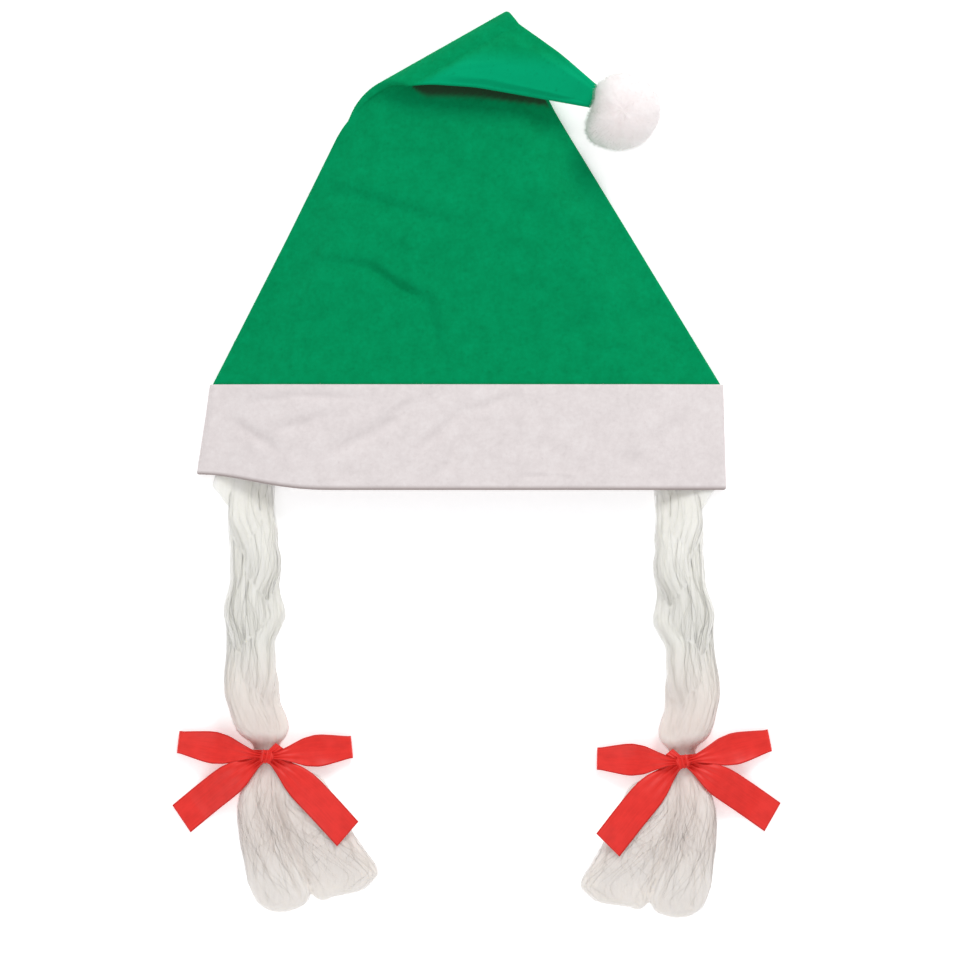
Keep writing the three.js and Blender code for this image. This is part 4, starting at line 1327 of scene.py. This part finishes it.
@dataclass
class Bundle:
    """A run of fibre: at each section its drop from the hem, its middle and its half sizes."""

    drop: np.ndarray
    u: np.ndarray
    z: np.ndarray
    wide: np.ndarray
    deep: np.ndarray
    square: float = 2.0

    def top(self, u: np.ndarray, drop: np.ndarray) -> np.ndarray:
        """The height of the bundle's upper face.

        Args:
            u: Places towards the hat's middle.
            drop: Places down from the hem.

        Returns:
            Heights over the floor, 0 beside the bundle.
        """
        inside = (drop >= self.drop[0]) & (drop <= self.drop[-1])
        values = [np.interp(drop, self.drop, column) for column in (self.u, self.z, self.wide, self.deep)]
        off = (u - values[0]) / values[2]
        high = values[1] + values[3] * np.sqrt(np.clip(1 - off * off, 0, 1))
        return np.where(inside & (np.abs(off) < 1), high, 0.0)

    def skin(self, sides: int, grooves: int, depth: float, seed: int) -> np.ndarray:
        """The bundle's surface, with soft folds along it and finer grooves between them.

        Args:
            sides: Points round each section.
            grooves: How many soft folds go round it.
            depth: How deep they are, as a share of the bundle's size.
            seed: Which folds.

        Returns:
            Points in the plait's own frame, as u, drop and z.
        """
        rng = np.random.default_rng(seed)
        turn = np.linspace(0, 2 * np.pi, sides, endpoint=False)[None, :]
        way = np.linspace(0, 1, len(self.drop))[:, None]
        comb = np.ones((len(self.drop), sides))
        for k, share in ((grooves, 1.0), (2 * grooves + 1, 0.5), (3 * grooves + 2, 0.3)):
            drift = rng.uniform(-1.2, 1.2) * np.sin(2 * np.pi * way * rng.uniform(0.6, 1.6) + rng.uniform(0, 6))
            comb += depth * share * np.sin(k * turn + drift * 2 + rng.uniform(0, 6))
        c, s = np.cos(turn), np.sin(turn)
        power = 2 / self.square
        shape_c = np.sign(c) * np.abs(c) ** power
        shape_s = np.sign(s) * np.abs(s) ** power
        u = self.u[:, None] + self.wide[:, None] * shape_c * comb
        z = self.z[:, None] + self.deep[:, None] * shape_s * comb
        return np.stack([u, np.broadcast_to(self.drop[:, None], u.shape), z], axis=-1)

    def hairs(self, count: int, steps: int, seed: int, stray: float) -> np.ndarray:
        """Single hairs that run along the bundle's surface.

        Args:
            count: How many.
            steps: Points on each.
            seed: Which hairs.
            stray: How far they stand off, as a share of the bundle's size.

        Returns:
            Points in the plait's own frame, one row for each hair.
        """
        rng = np.random.default_rng(seed)
        start = rng.uniform(0, 0.5, count)[:, None]
        end = start + rng.uniform(0.35, 1.0, count)[:, None] * (1 - start)
        way = np.linspace(0, 1, steps)[None, :]
        at = lerp(start, end, way)
        places = np.linspace(0, 1, len(self.drop))
        drop, u, z, wide, deep = (np.interp(at, places, c) for c in (self.drop, self.u, self.z, self.wide, self.deep))
        turn = rng.uniform(0, 2 * np.pi, count)[:, None]
        turn = turn + 0.3 * np.sin(2 * np.pi * way * rng.uniform(0.4, 1.3, (count, 1)) + rng.uniform(0, 6, (count, 1)))
        off = 1.0 + rng.uniform(0.0, 0.015, (count, 1))
        off = off + stray * rng.uniform(0, 1, (count, 1)) * np.sin(np.pi * way) ** 2
        c, s = np.cos(turn), np.sin(turn)
        power = 2 / self.square
        u = u + wide * off * np.sign(c) * np.abs(c) ** power
        z = z + deep * off * np.sign(s) * np.abs(s) ** power
        return np.stack([u, drop, np.maximum(z, 0.15)], axis=-1)


@dataclass
class Plait:
    """One plait: three fat strands from inside the band to the tie, and the loose end below it."""

    side: Side
    x: float
    y: float
    lean: float
    length: float = 147.4
    width: float = 30.5
    depth: float = 18.0
    pitch: float = 168.0
    turn: float = 128.0
    swing: float = 0.34
    rise: float = 0.36
    root: float = 18.0
    root_width: float = 25.0
    root_run: float = 26.0
    root_floor: float = 3.3
    root_half: float = 1.3
    corner_depth: float = 3.0
    neck: tuple[float, float, float] = (15.4, 11.0, 9.0)
    fill: float = 0.92
    neck_run: float = 9.0
    offset: float = 8.0
    tassel: tuple[float, float, float] = (78.0, 85.8, 16.0)
    fan_run: float = 12.0
    lift: float = 1.35
    edges: tuple[tuple[float, float, float], ...] = (
        (0.0, -0.88, 0.8), (0.1, -0.86, 0.84), (0.16, -0.83, 0.96), (0.21, -0.79, 0.92), (0.25, -0.77, 1.05),
        (0.31, -0.76, 1.06), (0.36, -0.76, 0.97), (0.4, -0.89, 1.04), (0.45, -1.0, 1.19), (0.48, -0.97, 1.22),
        (0.52, -0.9, 1.05), (0.57, -0.89, 0.8), (0.62, -0.9, 0.85), (0.68, -0.98, 0.87), (0.72, -1.0, 0.97),
        (0.77, -0.97, 1.0), (0.8, -0.89, 1.02), (0.83, -0.79, 1.16), (0.87, -0.69, 1.33), (0.9, -0.58, 1.34),
        (0.94, -0.4, 1.28), (0.97, -0.2, 1.12),
    )
    corner_rows: tuple[tuple[float, float, float], ...] = (
        (-0.07, -1.02, 0.24), (-0.005, -1.2, 0.27), (0.013, -1.03, 0.24), (0.032, -0.92, 0.23), (0.05, -0.82, 0.22),
        (0.07, -0.68, 0.2), (0.09, -0.55, 0.14),
    )
    lobes: tuple[tuple[tuple[float, float, float, float], ...], ...] = (
        ((0.124, -0.019, 0.167, 0.84), (0.217, -0.077, 0.16, 0.95), (0.322, -0.103, 0.167, 1.0),
         (0.438, -0.097, 0.213, 1.0), (0.555, -0.081, 0.256, 0.97), (0.683, -0.049, 0.308, 0.91),
         (0.8, -0.028, 0.372, 0.8), (0.875, 0.004, 0.413, 0.7), (0.949, 0.044, 0.39, 0.55),
         (0.985, 0.103, 0.308, 0.4), (1.0, 0.154, 0.244, 0.25)),
        ((0.094, 0.051, 0.385, 0.62), (0.124, 0.077, 0.481, 0.72), (0.182, 0.103, 0.526, 0.82),
         (0.263, 0.128, 0.576, 0.9), (0.38, 0.167, 0.645, 0.9), (0.508, 0.224, 0.718, 0.86),
         (0.613, 0.263, 0.801, 0.78), (0.695, 0.295, 0.872, 0.68), (0.759, 0.327, 0.9, 0.58),
         (0.794, 0.353, 0.859, 0.52), (0.843, 0.378, 0.812, 0.46), (0.875, 0.404, 0.745, 0.4),
         (0.904, 0.436, 0.558, 0.32), (0.931, 0.481, 0.519, 0.2)),
    )

    @property
    def name(self) -> str:
        """left or right."""
        return self.side.name.lower()

    def lay(self, points: np.ndarray) -> np.ndarray:
        """Points of the plait's own frame, as u, drop and z, in the hat's frame."""
        c, s = math.cos(math.radians(self.lean)), math.sin(math.radians(self.lean))
        u, drop, z = points[..., 0] * self.side.value, points[..., 1], points[..., 2]
        return np.stack([self.x + u * c + drop * s, self.y + u * s - drop * c, z], axis=-1)

    def strands(self) -> list[Bundle]:
        """The three strands, from the root to inside the tie; together they reach from edge to edge."""
        table = np.array(self.edges)
        width, depth, long = self.neck
        tie = self.length - long / 2
        drop = np.linspace(-self.root, self.length + long / 2, 170)
        from_root = smooth(drop, 2, self.root_run)
        tied = smooth(drop, tie - self.neck_run, tie)
        outer, inner = (
            lerp(lerp(side * self.root_width / 2,
                      softened(np.interp(drop / self.length, table[:, 0], table[:, column]), 2) * self.width / 2,
                      from_root), self.offset + side * width * self.fill / 2, tied)
            for column, side in ((1, -1), (2, 1))
        )
        raised = smooth(drop, -6, 1.4 * self.root_run)
        half_deep = lerp(lerp(self.root_half, self.depth / 2, raised), depth * self.fill / 2, tied)
        floor = self.root_floor * (1 - raised) + self.lift * tied
        turns = [2 * np.pi * (drop - self.length) / self.pitch + math.radians(self.turn + 120 * i) for i in range(3)]
        swings = [self.swing * np.sin(turn) for turn in turns]
        low = np.min(swings, axis=0) - (1 - self.swing)
        scale = (inner - outer) / (np.max(swings, axis=0) + (1 - self.swing) - low)
        return [Bundle(drop, outer + (swing - low) * scale, floor + half_deep * (1 - self.rise * np.sin(2 * turn)),
                       (1 - self.swing) * scale, (1 - self.rise) * half_deep, 2.2)
                for turn, swing in zip(turns, swings)]

    def corner(self) -> Bundle:
        """The thin outer corner of the flattened root, from inside the band."""
        table = np.array(self.corner_rows)
        share = np.linspace(table[0, 0], table[-1, 0], 40)
        middle, half = (softened(np.interp(share, table[:, 0], table[:, column]), 2) * self.width / 2
                        for column in (1, 2))
        outer, inner = middle - half, np.maximum(middle + half, -0.36 * self.root_width)
        same = np.full(40, self.corner_depth / 2)
        return Bundle(share * self.length, (outer + inner) / 2, self.root_floor + same, (inner - outer) / 2, same)

    def loose(self) -> list[Bundle]:
        """The two lobes of the loose end, from inside the tie to their soft ends."""
        wide, long, deep = self.tassel
        width, depth, tall = self.neck
        tie = self.length + tall / 2
        middle = self.lift - 0.35 + depth / 2
        tied = (self.offset, middle, width * self.fill / 2, depth * self.fill / 2)
        made = []
        for rows in self.lobes:
            table = np.array(rows)
            drop = self.length + np.concatenate([[table[0, 0]], table[1:, 0]]) * long
            freed = smooth(table[:, 0] * long, tall / 2, tall / 2 + self.fan_run)
            half_deep = table[:, 3] * deep / 2
            columns = ((table[:, 1] + table[:, 2]) / 2 * wide, lerp(middle, half_deep, freed),
                       (table[:, 2] - table[:, 1]) / 2 * wide,
                       lerp(np.minimum(half_deep, depth * self.fill / 2), half_deep, freed))
            at = np.concatenate([[self.length, tie], drop])
            fine = np.linspace(self.length, drop[-1], 110)
            made.append(Bundle(fine, *(softened(np.interp(fine, at, np.concatenate([[start, start], column])), 2)
                                       for start, column in zip(tied, columns)), square=2.3))
        return made

    def build(self, fibre: Fibre) -> tuple[list[bpy.types.Object], list[Bundle]]:
        """Makes the plait, its hairs and its strays.

        Args:
            fibre: The finish.

        Returns:
            The pieces, and the runs of fibre that the ribbon lies on.
        """
        material = fibre.material()
        strands, lobes = self.strands(), self.loose()
        skins = Skins()
        for i, strand in enumerate(strands):
            skins.add(self.lay(strand.skin(64, 5, 0.012, 40 + i)))
        skins.add(self.lay(self.corner().skin(24, 5, 0.01, 44)))
        for i, lobe in enumerate(lobes):
            skins.add(self.lay(lobe.skin(96, 7, 0.018, 50 + i)))
        hem = place(np.array([[self.x, self.y, 0.0]]))[0, 1]
        body = melted(skins.build(f"plait_shells_{self.name}", material), f"plait_{self.name}", 0.72, 17,
                      lambda points: lerp(0.12, 1.0, smooth((hem - points[:, 1]) / MM, 2, 22)), material)
        dress(body, "white_fibre", f"braid_{self.name}")
        hairs = [strand.hairs(120, 30, 60 + i, 0.03) for i, strand in enumerate(strands)]
        hairs += [lobe.hairs(150, 30, 70 + i, 0.03) for i, lobe in enumerate(lobes)]
        strays = [bundle.hairs(7, 30, 90 + i, 0.16) for i, bundle in enumerate(strands + lobes)]
        lines = self.lay(np.concatenate(hairs + strays))
        girth = np.concatenate([np.full(sum(len(h) for h in hairs), 1.0), np.full(sum(len(h) for h in strays), 0.6)])
        taper = np.sin(np.pi * np.linspace(0.06, 0.94, 30)) ** 0.5
        source = lines_object(f"hair_lines_{self.name}", lines, girth[:, None] * taper[None, :])
        combed = made_plain(source, f"plait_{self.name}_hairs", fibre_tree(material), {"Girth": 0.08 * MM}, material)
        return [body, dress(combed, "white_fibre")], strands + [self.corner()] + lobes


@dataclass
class Bow:
    """A satin ribbon tied round a plait: one turn, a knot, two loops and two square-cut tails."""

    plait: Plait
    bundles: list[Bundle]
    width: float = 18.0
    thickness: float = 0.5
    solid: float = 1.0
    clear: float = 0.35
    loop: float = 46.5
    loop_height: float = 6.0
    tail: float = 60.0
    knot: tuple[float, float] = (7.6, 6.2)
    knot_solid: float = 7.0
    ease: float = 1.08
    loops: tuple[tuple[float, float], ...] = ((171.0, 1.02), (6.0, 0.98))
    tails: tuple[tuple[float, float, float], ...] = ((216.5, 0.97, 1.5), (-43.5, 1.03, -2.2))
    loop_widths: tuple[tuple[float, float], ...] = (
        (0.0, 0.2), (0.12, 0.22), (0.17, 0.27), (0.3, 0.52), (0.46, 0.86), (0.6, 0.98), (0.7, 0.95), (0.84, 0.83),
        (1.0, 0.68),
    )
    tail_widths: tuple[tuple[float, float], ...] = (
        (0.0, 0.24), (0.1, 0.36), (0.2, 0.6), (0.3, 0.84), (0.4, 0.97), (0.5, 1.0), (1.0, 1.0),
    )

    def drape(self, turn: float, far: np.ndarray, widths: np.ndarray, start: float) -> np.ndarray:
        """The lowest heights at which a strip lies on the fibre and the floor.

        Args:
            turn: The strip's direction in degrees.
            far: Distances from the knot.
            widths: The strip's width at each.
            start: Its height at the knot.

        Returns:
            Heights of the strip's middle layer.
        """
        c, s = math.cos(math.radians(turn)), -math.sin(math.radians(turn))
        shares = np.linspace(-0.5, 0.5, 9)[None, :] * widths[:, None]
        u = self.plait.offset + c * far[:, None] - s * shares
        drop = self.plait.length + s * far[:, None] + c * shares
        tops = np.max([bundle.top(u, drop) for bundle in self.bundles], axis=0).max(axis=1)
        rest = np.where(tops > 0, tops + self.clear + self.solid, self.solid / 2)
        rest[0] = start
        step = np.diff(far, prepend=far[0])
        for i in range(1, len(rest)):
            rest[i] = max(rest[i], rest[i - 1] - 0.55 * step[i])
        for i in range(len(rest) - 2, 0, -1):
            rest[i] = max(rest[i], rest[i + 1] - 0.9 * step[i + 1])
        eased = np.convolve(np.pad(rest, 3, mode="edge"), np.ones(7) / 7, mode="valid")
        return np.maximum(eased, np.where(tops > 0, tops + 0.8, 0.4))

    def strip(self, skins: Skins, turn: float, far: np.ndarray, z: np.ndarray, widths: np.ndarray,
              arch: np.ndarray, pleat: float, cut: float, bend: float = 0.0) -> None:
        """Adds a strip of ribbon that leaves the knot.

        Args:
            skins: Where it goes.
            turn: Its direction in degrees.
            far: Distances from the knot, which may turn back.
            z: Heights of its middle layer.
            widths: Its width at each place.
            arch: How far its middle stands over its edges.
            pleat: The height of the gathers at the knot.
            cut: A slant of its end, as a length.
            bend: How far it bends aside on its way.
        """
        c, s = math.cos(math.radians(turn)), -math.sin(math.radians(turn))
        across = np.linspace(-1, 1, 17)
        run, climb = np.gradient(far), np.gradient(z)
        long = np.hypot(run, climb)
        up = np.stack([-climb / long, run / long], axis=-1)
        gather = np.cos(3 * np.pi * across + 0.7)[None, :] * np.exp(-far / 11.0)[:, None] * pleat
        wave = 0.25 * np.sin(2 * np.pi * far / 31 + turn)[:, None] * across[None, :] * smooth(far, 8, 25)[:, None]
        rise = arch[:, None] * (1 - across[None, :] ** 2) - arch[:, None] / 3 + gather + wave
        slant = cut * across[None, :] * smooth(far, far.max() - 14, far.max())[:, None]
        aside = bend * np.sin(np.pi * (far / far.max()) ** 0.7)[:, None]
        rings, uvs = [], []
        passed = np.concatenate([[0], np.cumsum(np.hypot(np.diff(far), np.diff(z)))])
        for layer in (0.5, -0.5):
            thick = self.thickness * layer * (1 - 0.35 * np.abs(across[None, :]) ** 8)
            out = far[:, None] + slant + up[:, :1] * (rise + thick)
            side = across[None, :] * widths[:, None] / 2 + aside
            u = self.plait.offset + c * out - s * side
            drop = self.plait.length + s * out + c * side
            high = z[:, None] + up[:, 1:] * (rise + thick)
            floor = 0.05 if layer < 0 else 0.05 + self.thickness
            points = np.stack([u, drop, np.maximum(high, floor)], axis=-1)
            uv = np.stack([np.broadcast_to(across[None, :] * self.width / 2 * MM, u.shape),
                           np.broadcast_to(passed[:, None] * MM, u.shape)], axis=-1)
            order = slice(None) if layer > 0 else slice(None, None, -1)
            rings.append(points[:, order])
            uvs.append(uv[:, order])
        skins.add(self.plait.lay(np.concatenate(rings, axis=1)), uv=np.concatenate(uvs, axis=1))

    def spread(self, table: tuple[tuple[float, float], ...], far: np.ndarray, long: float) -> np.ndarray:
        """The ribbon's width at distances from the knot, where it is gathered, from a table of shares."""
        rows = np.array(table)
        return self.width * softened(np.interp(far / long, rows[:, 0], rows[:, 1]), 1)

    def wrap(self, skins: Skins, middle: float) -> None:
        """Adds the turn of ribbon round the plait's waist.

        Args:
            skins: Where it goes.
            middle: The height of the waist's middle.
        """
        width, depth, long = self.plait.neck
        turn = np.linspace(0, 2 * np.pi, 72, endpoint=False)
        profile = []
        across = np.linspace(-1, 1, 15)
        for grow, order in ((0.75, across), (0.2, across[::-1])):
            for place_across in order:
                crease = 0.25 * math.cos(4.5 * math.pi * place_across + 0.4)
                profile.append((place_across * (long / 2 - 0.9), grow + crease - 0.25 * place_across**2))
        rings = []
        for t in turn:
            c, s = math.cos(t), math.sin(t)
            half = [(size / 2) * self.ease + self.clear for size in (width, depth)]
            rings.append([[self.plait.offset + (half[0] + out) * c, self.plait.length + along,
                           middle + (half[1] + out) * s] for along, out in profile])
        points = np.array(rings)
        across_uv = np.array([p[0] for p in profile]) * MM
        uv = np.stack([np.broadcast_to(across_uv[None, :], points.shape[:2]),
                       np.broadcast_to((turn * 8 * MM)[:, None], points.shape[:2])], axis=-1)
        skins.add(self.plait.lay(points), closed=True, uv=uv)

    def tie(self, skins: Skins, height: float) -> None:
        """Adds the knot, a short gathered turn of ribbon over the middle.

        Args:
            skins: Where it goes.
            height: The height of its middle.
        """
        wide, tall = self.knot
        rings, uvs = [], []
        for a in np.linspace(-1, 1, 30):
            body = (1 - 0.34 * abs(a) ** 2.6) * (0.86 + 0.11 * math.cos(3.4 * math.pi * a + 0.5))
            end = math.sqrt(max(0.0, 1 - max(0.0, (abs(a) - 0.86) / 0.14) ** 2))
            t = np.linspace(0, 2 * np.pi, 44, endpoint=False)
            fold = 1 + 0.08 * np.sin(3 * np.pi * a + 1.2 * np.sin(t)) + 0.05 * np.sin(2 * t + 2 * a)
            r = body * max(end, 0.25) * fold
            skew = 0.9 * np.sin(t) - 1.1 * np.cos(t)
            rings.append(np.stack([self.plait.offset + a * wide * 0.46 + skew * 0.6,
                                   self.plait.length + wide / 2 * r * np.cos(t) * 1.05 + 0.9 * a,
                                   height + tall / 2 * r * np.sin(t) * 1.02], axis=-1))
            uvs.append(np.stack([np.full(44, a * wide * 0.5 * MM), t * wide / 2 * MM], axis=-1))
        skins.add(self.plait.lay(np.array(rings)), uv=np.array(uvs))

    def build(self, satin: Satin) -> list[bpy.types.Object]:
        """Makes the whole ribbon.

        Args:
            satin: The finish.

        Returns:
            The piece.
        """
        width, depth, _ = self.plait.neck
        middle = self.plait.lift + depth / 2
        knot = middle + depth / 2 * self.ease + self.plait.lift + self.knot_solid / 2 - 1
        skins = Skins()
        self.wrap(skins, middle)
        self.tie(skins, knot)
        end = np.linspace(0, 9.5, 16)
        self.strip(skins, 38.0, end, knot - 0.2 * end, 3.2 + 0.22 * end, 0.4 + 0 * end, 0.5, 0.8)
        for i, (turn, share, bend) in enumerate(self.tails):
            long = self.tail * share
            far = np.linspace(0, long, 60)
            widths = self.spread(self.tail_widths, far, long)
            z = self.drape(turn, far, widths, knot - 1)
            arch = 0.5 * smooth(far, 4, 20) * (1 - smooth(far, long - 20, long))
            self.strip(skins, turn, far, z, widths, arch, 1.5, 0.4 if i else -0.4, bend)
        for turn, share in self.loops:
            long = self.loop * share
            out = np.linspace(0, long, 44)
            widths = self.spread(self.loop_widths, out, long)
            low = self.drape(turn, out, widths, knot)
            opened = smooth(out / long, 0, 0.5) * (1 - 0.55 * smooth(out / long, 0.6, 1))
            gap = lerp(2.2, self.loop_height, opened)
            bend = np.linspace(0, np.pi, 11)[1:-1]
            radius = gap[-1] / 2
            far = np.concatenate([out, long + radius * 0.8 * np.sin(bend), out[::-1]])
            z = np.concatenate([low, low[-1] + radius - radius * np.cos(bend), (low + gap)[::-1]])
            both = np.concatenate([widths, np.full(len(bend), widths[-1]), widths[::-1]])
            curve = 1.8 * smooth(out / long, 0.1, 0.6) * (1 - smooth(out / long, 0.7, 1))
            arch = np.concatenate([0.2 * curve, np.linspace(0.2, 1, len(bend)) * curve[-1], curve[::-1]])
            arch[: len(out)] *= -1
            self.strip(skins, turn, far, z, both, arch, 0.9, 0.0)
        bow = dress(skins.build(f"satin_bow_{self.plait.name}", satin.material()), "red_satin",
                    f"ribbon_bow_{self.plait.name}")
        f"plait_{self.plait.name}"
        return [bow]


# ---- the studio


@dataclass
class Studio:
    """A pale floor that is lit from below, soft light from above and a far camera that looks straight down."""

    look_at: tuple[float, float] = (7.4, 5.5)
    seen: float = 528.0
    height: float = 6000.0
    sensor: float = 36.0
    shine: float = 0.36

    def floor(self) -> None:
        """Lays the floor just under the part."""
        mesh = bpy.data.meshes.new("floor")
        edge = 4.0
        mesh.from_pydata([(-edge, -edge, -0.0002), (edge, -edge, -0.0002), (edge, edge, -0.0002),
                          (-edge, edge, -0.0002)], [], [(0, 1, 2, 3)])
        # Opal acrylic over a lamp, as used to photograph goods on pure white: shadows on it stay faint.
        acrylic = bpy.data.materials.new("opal_acrylic_sheet")
        acrylic.use_nodes = True
        shader = acrylic.node_tree.nodes["Principled BSDF"]
        shader.inputs["Base Color"].default_value = linear("#fafafa")
        shader.inputs["Roughness"].default_value = 0.9
        shader.inputs["Specular IOR Level"].default_value = 0.1
        shader.inputs["Emission Color"].default_value = linear("#ffffff")
        shader.inputs["Emission Strength"].default_value = self.shine
        linked("floor", mesh, acrylic)

    def lamp(self, name: str, place_at: tuple[float, float, float], size: float, power: float) -> None:
        """Hangs a square soft light that faces the part.

        Args:
            name: Its name.
            place_at: Where it hangs, in metres.
            size: Its side in metres.
            power: Its power in watts.
        """
        light = bpy.data.lights.new(name, "AREA")
        light.shape, light.size, light.energy = "SQUARE", size, power
        made = bpy.data.objects.new(name, light)
        made.location = place_at
        direction = np.array(place_at, float)
        yaw = math.atan2(direction[0], -direction[1])
        made.rotation_euler = (math.acos(direction[2] / np.linalg.norm(direction)), 0.0, yaw)
        bpy.context.scene.collection.objects.link(made)

    def build(self) -> None:
        """Sets up floor, light and camera."""
        self.floor()
        self.lamp("key_softbox", (0.6, 1.55, 1.4), 0.8, 20.0)
        self.lamp("fill_softbox", (-0.7, -1.3, 1.6), 1.8, 11.0)
        world = bpy.data.worlds.new("studio")
        world.use_nodes = True
        background = world.node_tree.nodes["Background"]
        background.inputs["Color"].default_value = linear("#f8f8fa")
        background.inputs["Strength"].default_value = 0.64
        bpy.context.scene.world = world
        camera = bpy.data.cameras.new("camera")
        camera.sensor_width = self.sensor
        camera.lens = self.sensor * self.height / self.seen
        camera.clip_end = 20.0
        made = bpy.data.objects.new("camera", camera)
        x, y, _ = place(np.array([[*self.look_at, 0.0]]))[0]
        made.location = (float(x), float(y), self.height * MM)
        bpy.context.scene.collection.objects.link(made)
        bpy.context.scene.camera = made
        bpy.context.scene.view_settings.view_transform = "Standard"


def main() -> None:
    """Builds the hat, piece by piece, and the studio round it."""
    logging.basicConfig(level=logging.INFO, format="%(name)s %(message)s")
    Studio().build()
    shape = HatShape()
    # Each felt's fourth colour is painted shade and its fifth painted light, used where a piece marks its points.
    green = Felt("green_polyester_felt", "#008550", "#008e57", "#00965e", "#2c4a32", "#00a26f", sheen=0.04)
    white = Felt("white_polyester_felt", "#ddd5d4", "#e4dcdb", "#eae3e2", "#a59896", "#eae3e2")
    pile = Felt("white_cut_pile", "#f2e9e8", "#f5eceb", "#f8f0ef", "#ece4e3", "#f8f0ef", mottle=5.0, relief=0.05,
                sheen=0.04, glow=1.0, through=22.0)
    # The wig fibre's last two colours are a painted reflection of the red ribbons.
    wig = Fibre("off_white_wig_fibre", "#e8e7e1", "#f2f1eb", "#faf0ef", "#fefafb")
    satin = Satin("red_satin_ribbon", "#d8271f", "#ee3129")
    Crown(shape).build(green)
    Band(shape).build(white, Fibre("white_sewing_thread", "#dedad6", "#f2f0ee", gloss=0.5, through=0.3))
    Pompom().build(pile)
    for plait in (Plait(Side.LEFT, -118.0, 1.2, 0.0), Plait(Side.RIGHT, 115.65, -1.4, 4.4)):
        _, bundles = plait.build(wig)
        Bow(plait, bundles).build(satin)


if __name__ == "__main__":
    main()
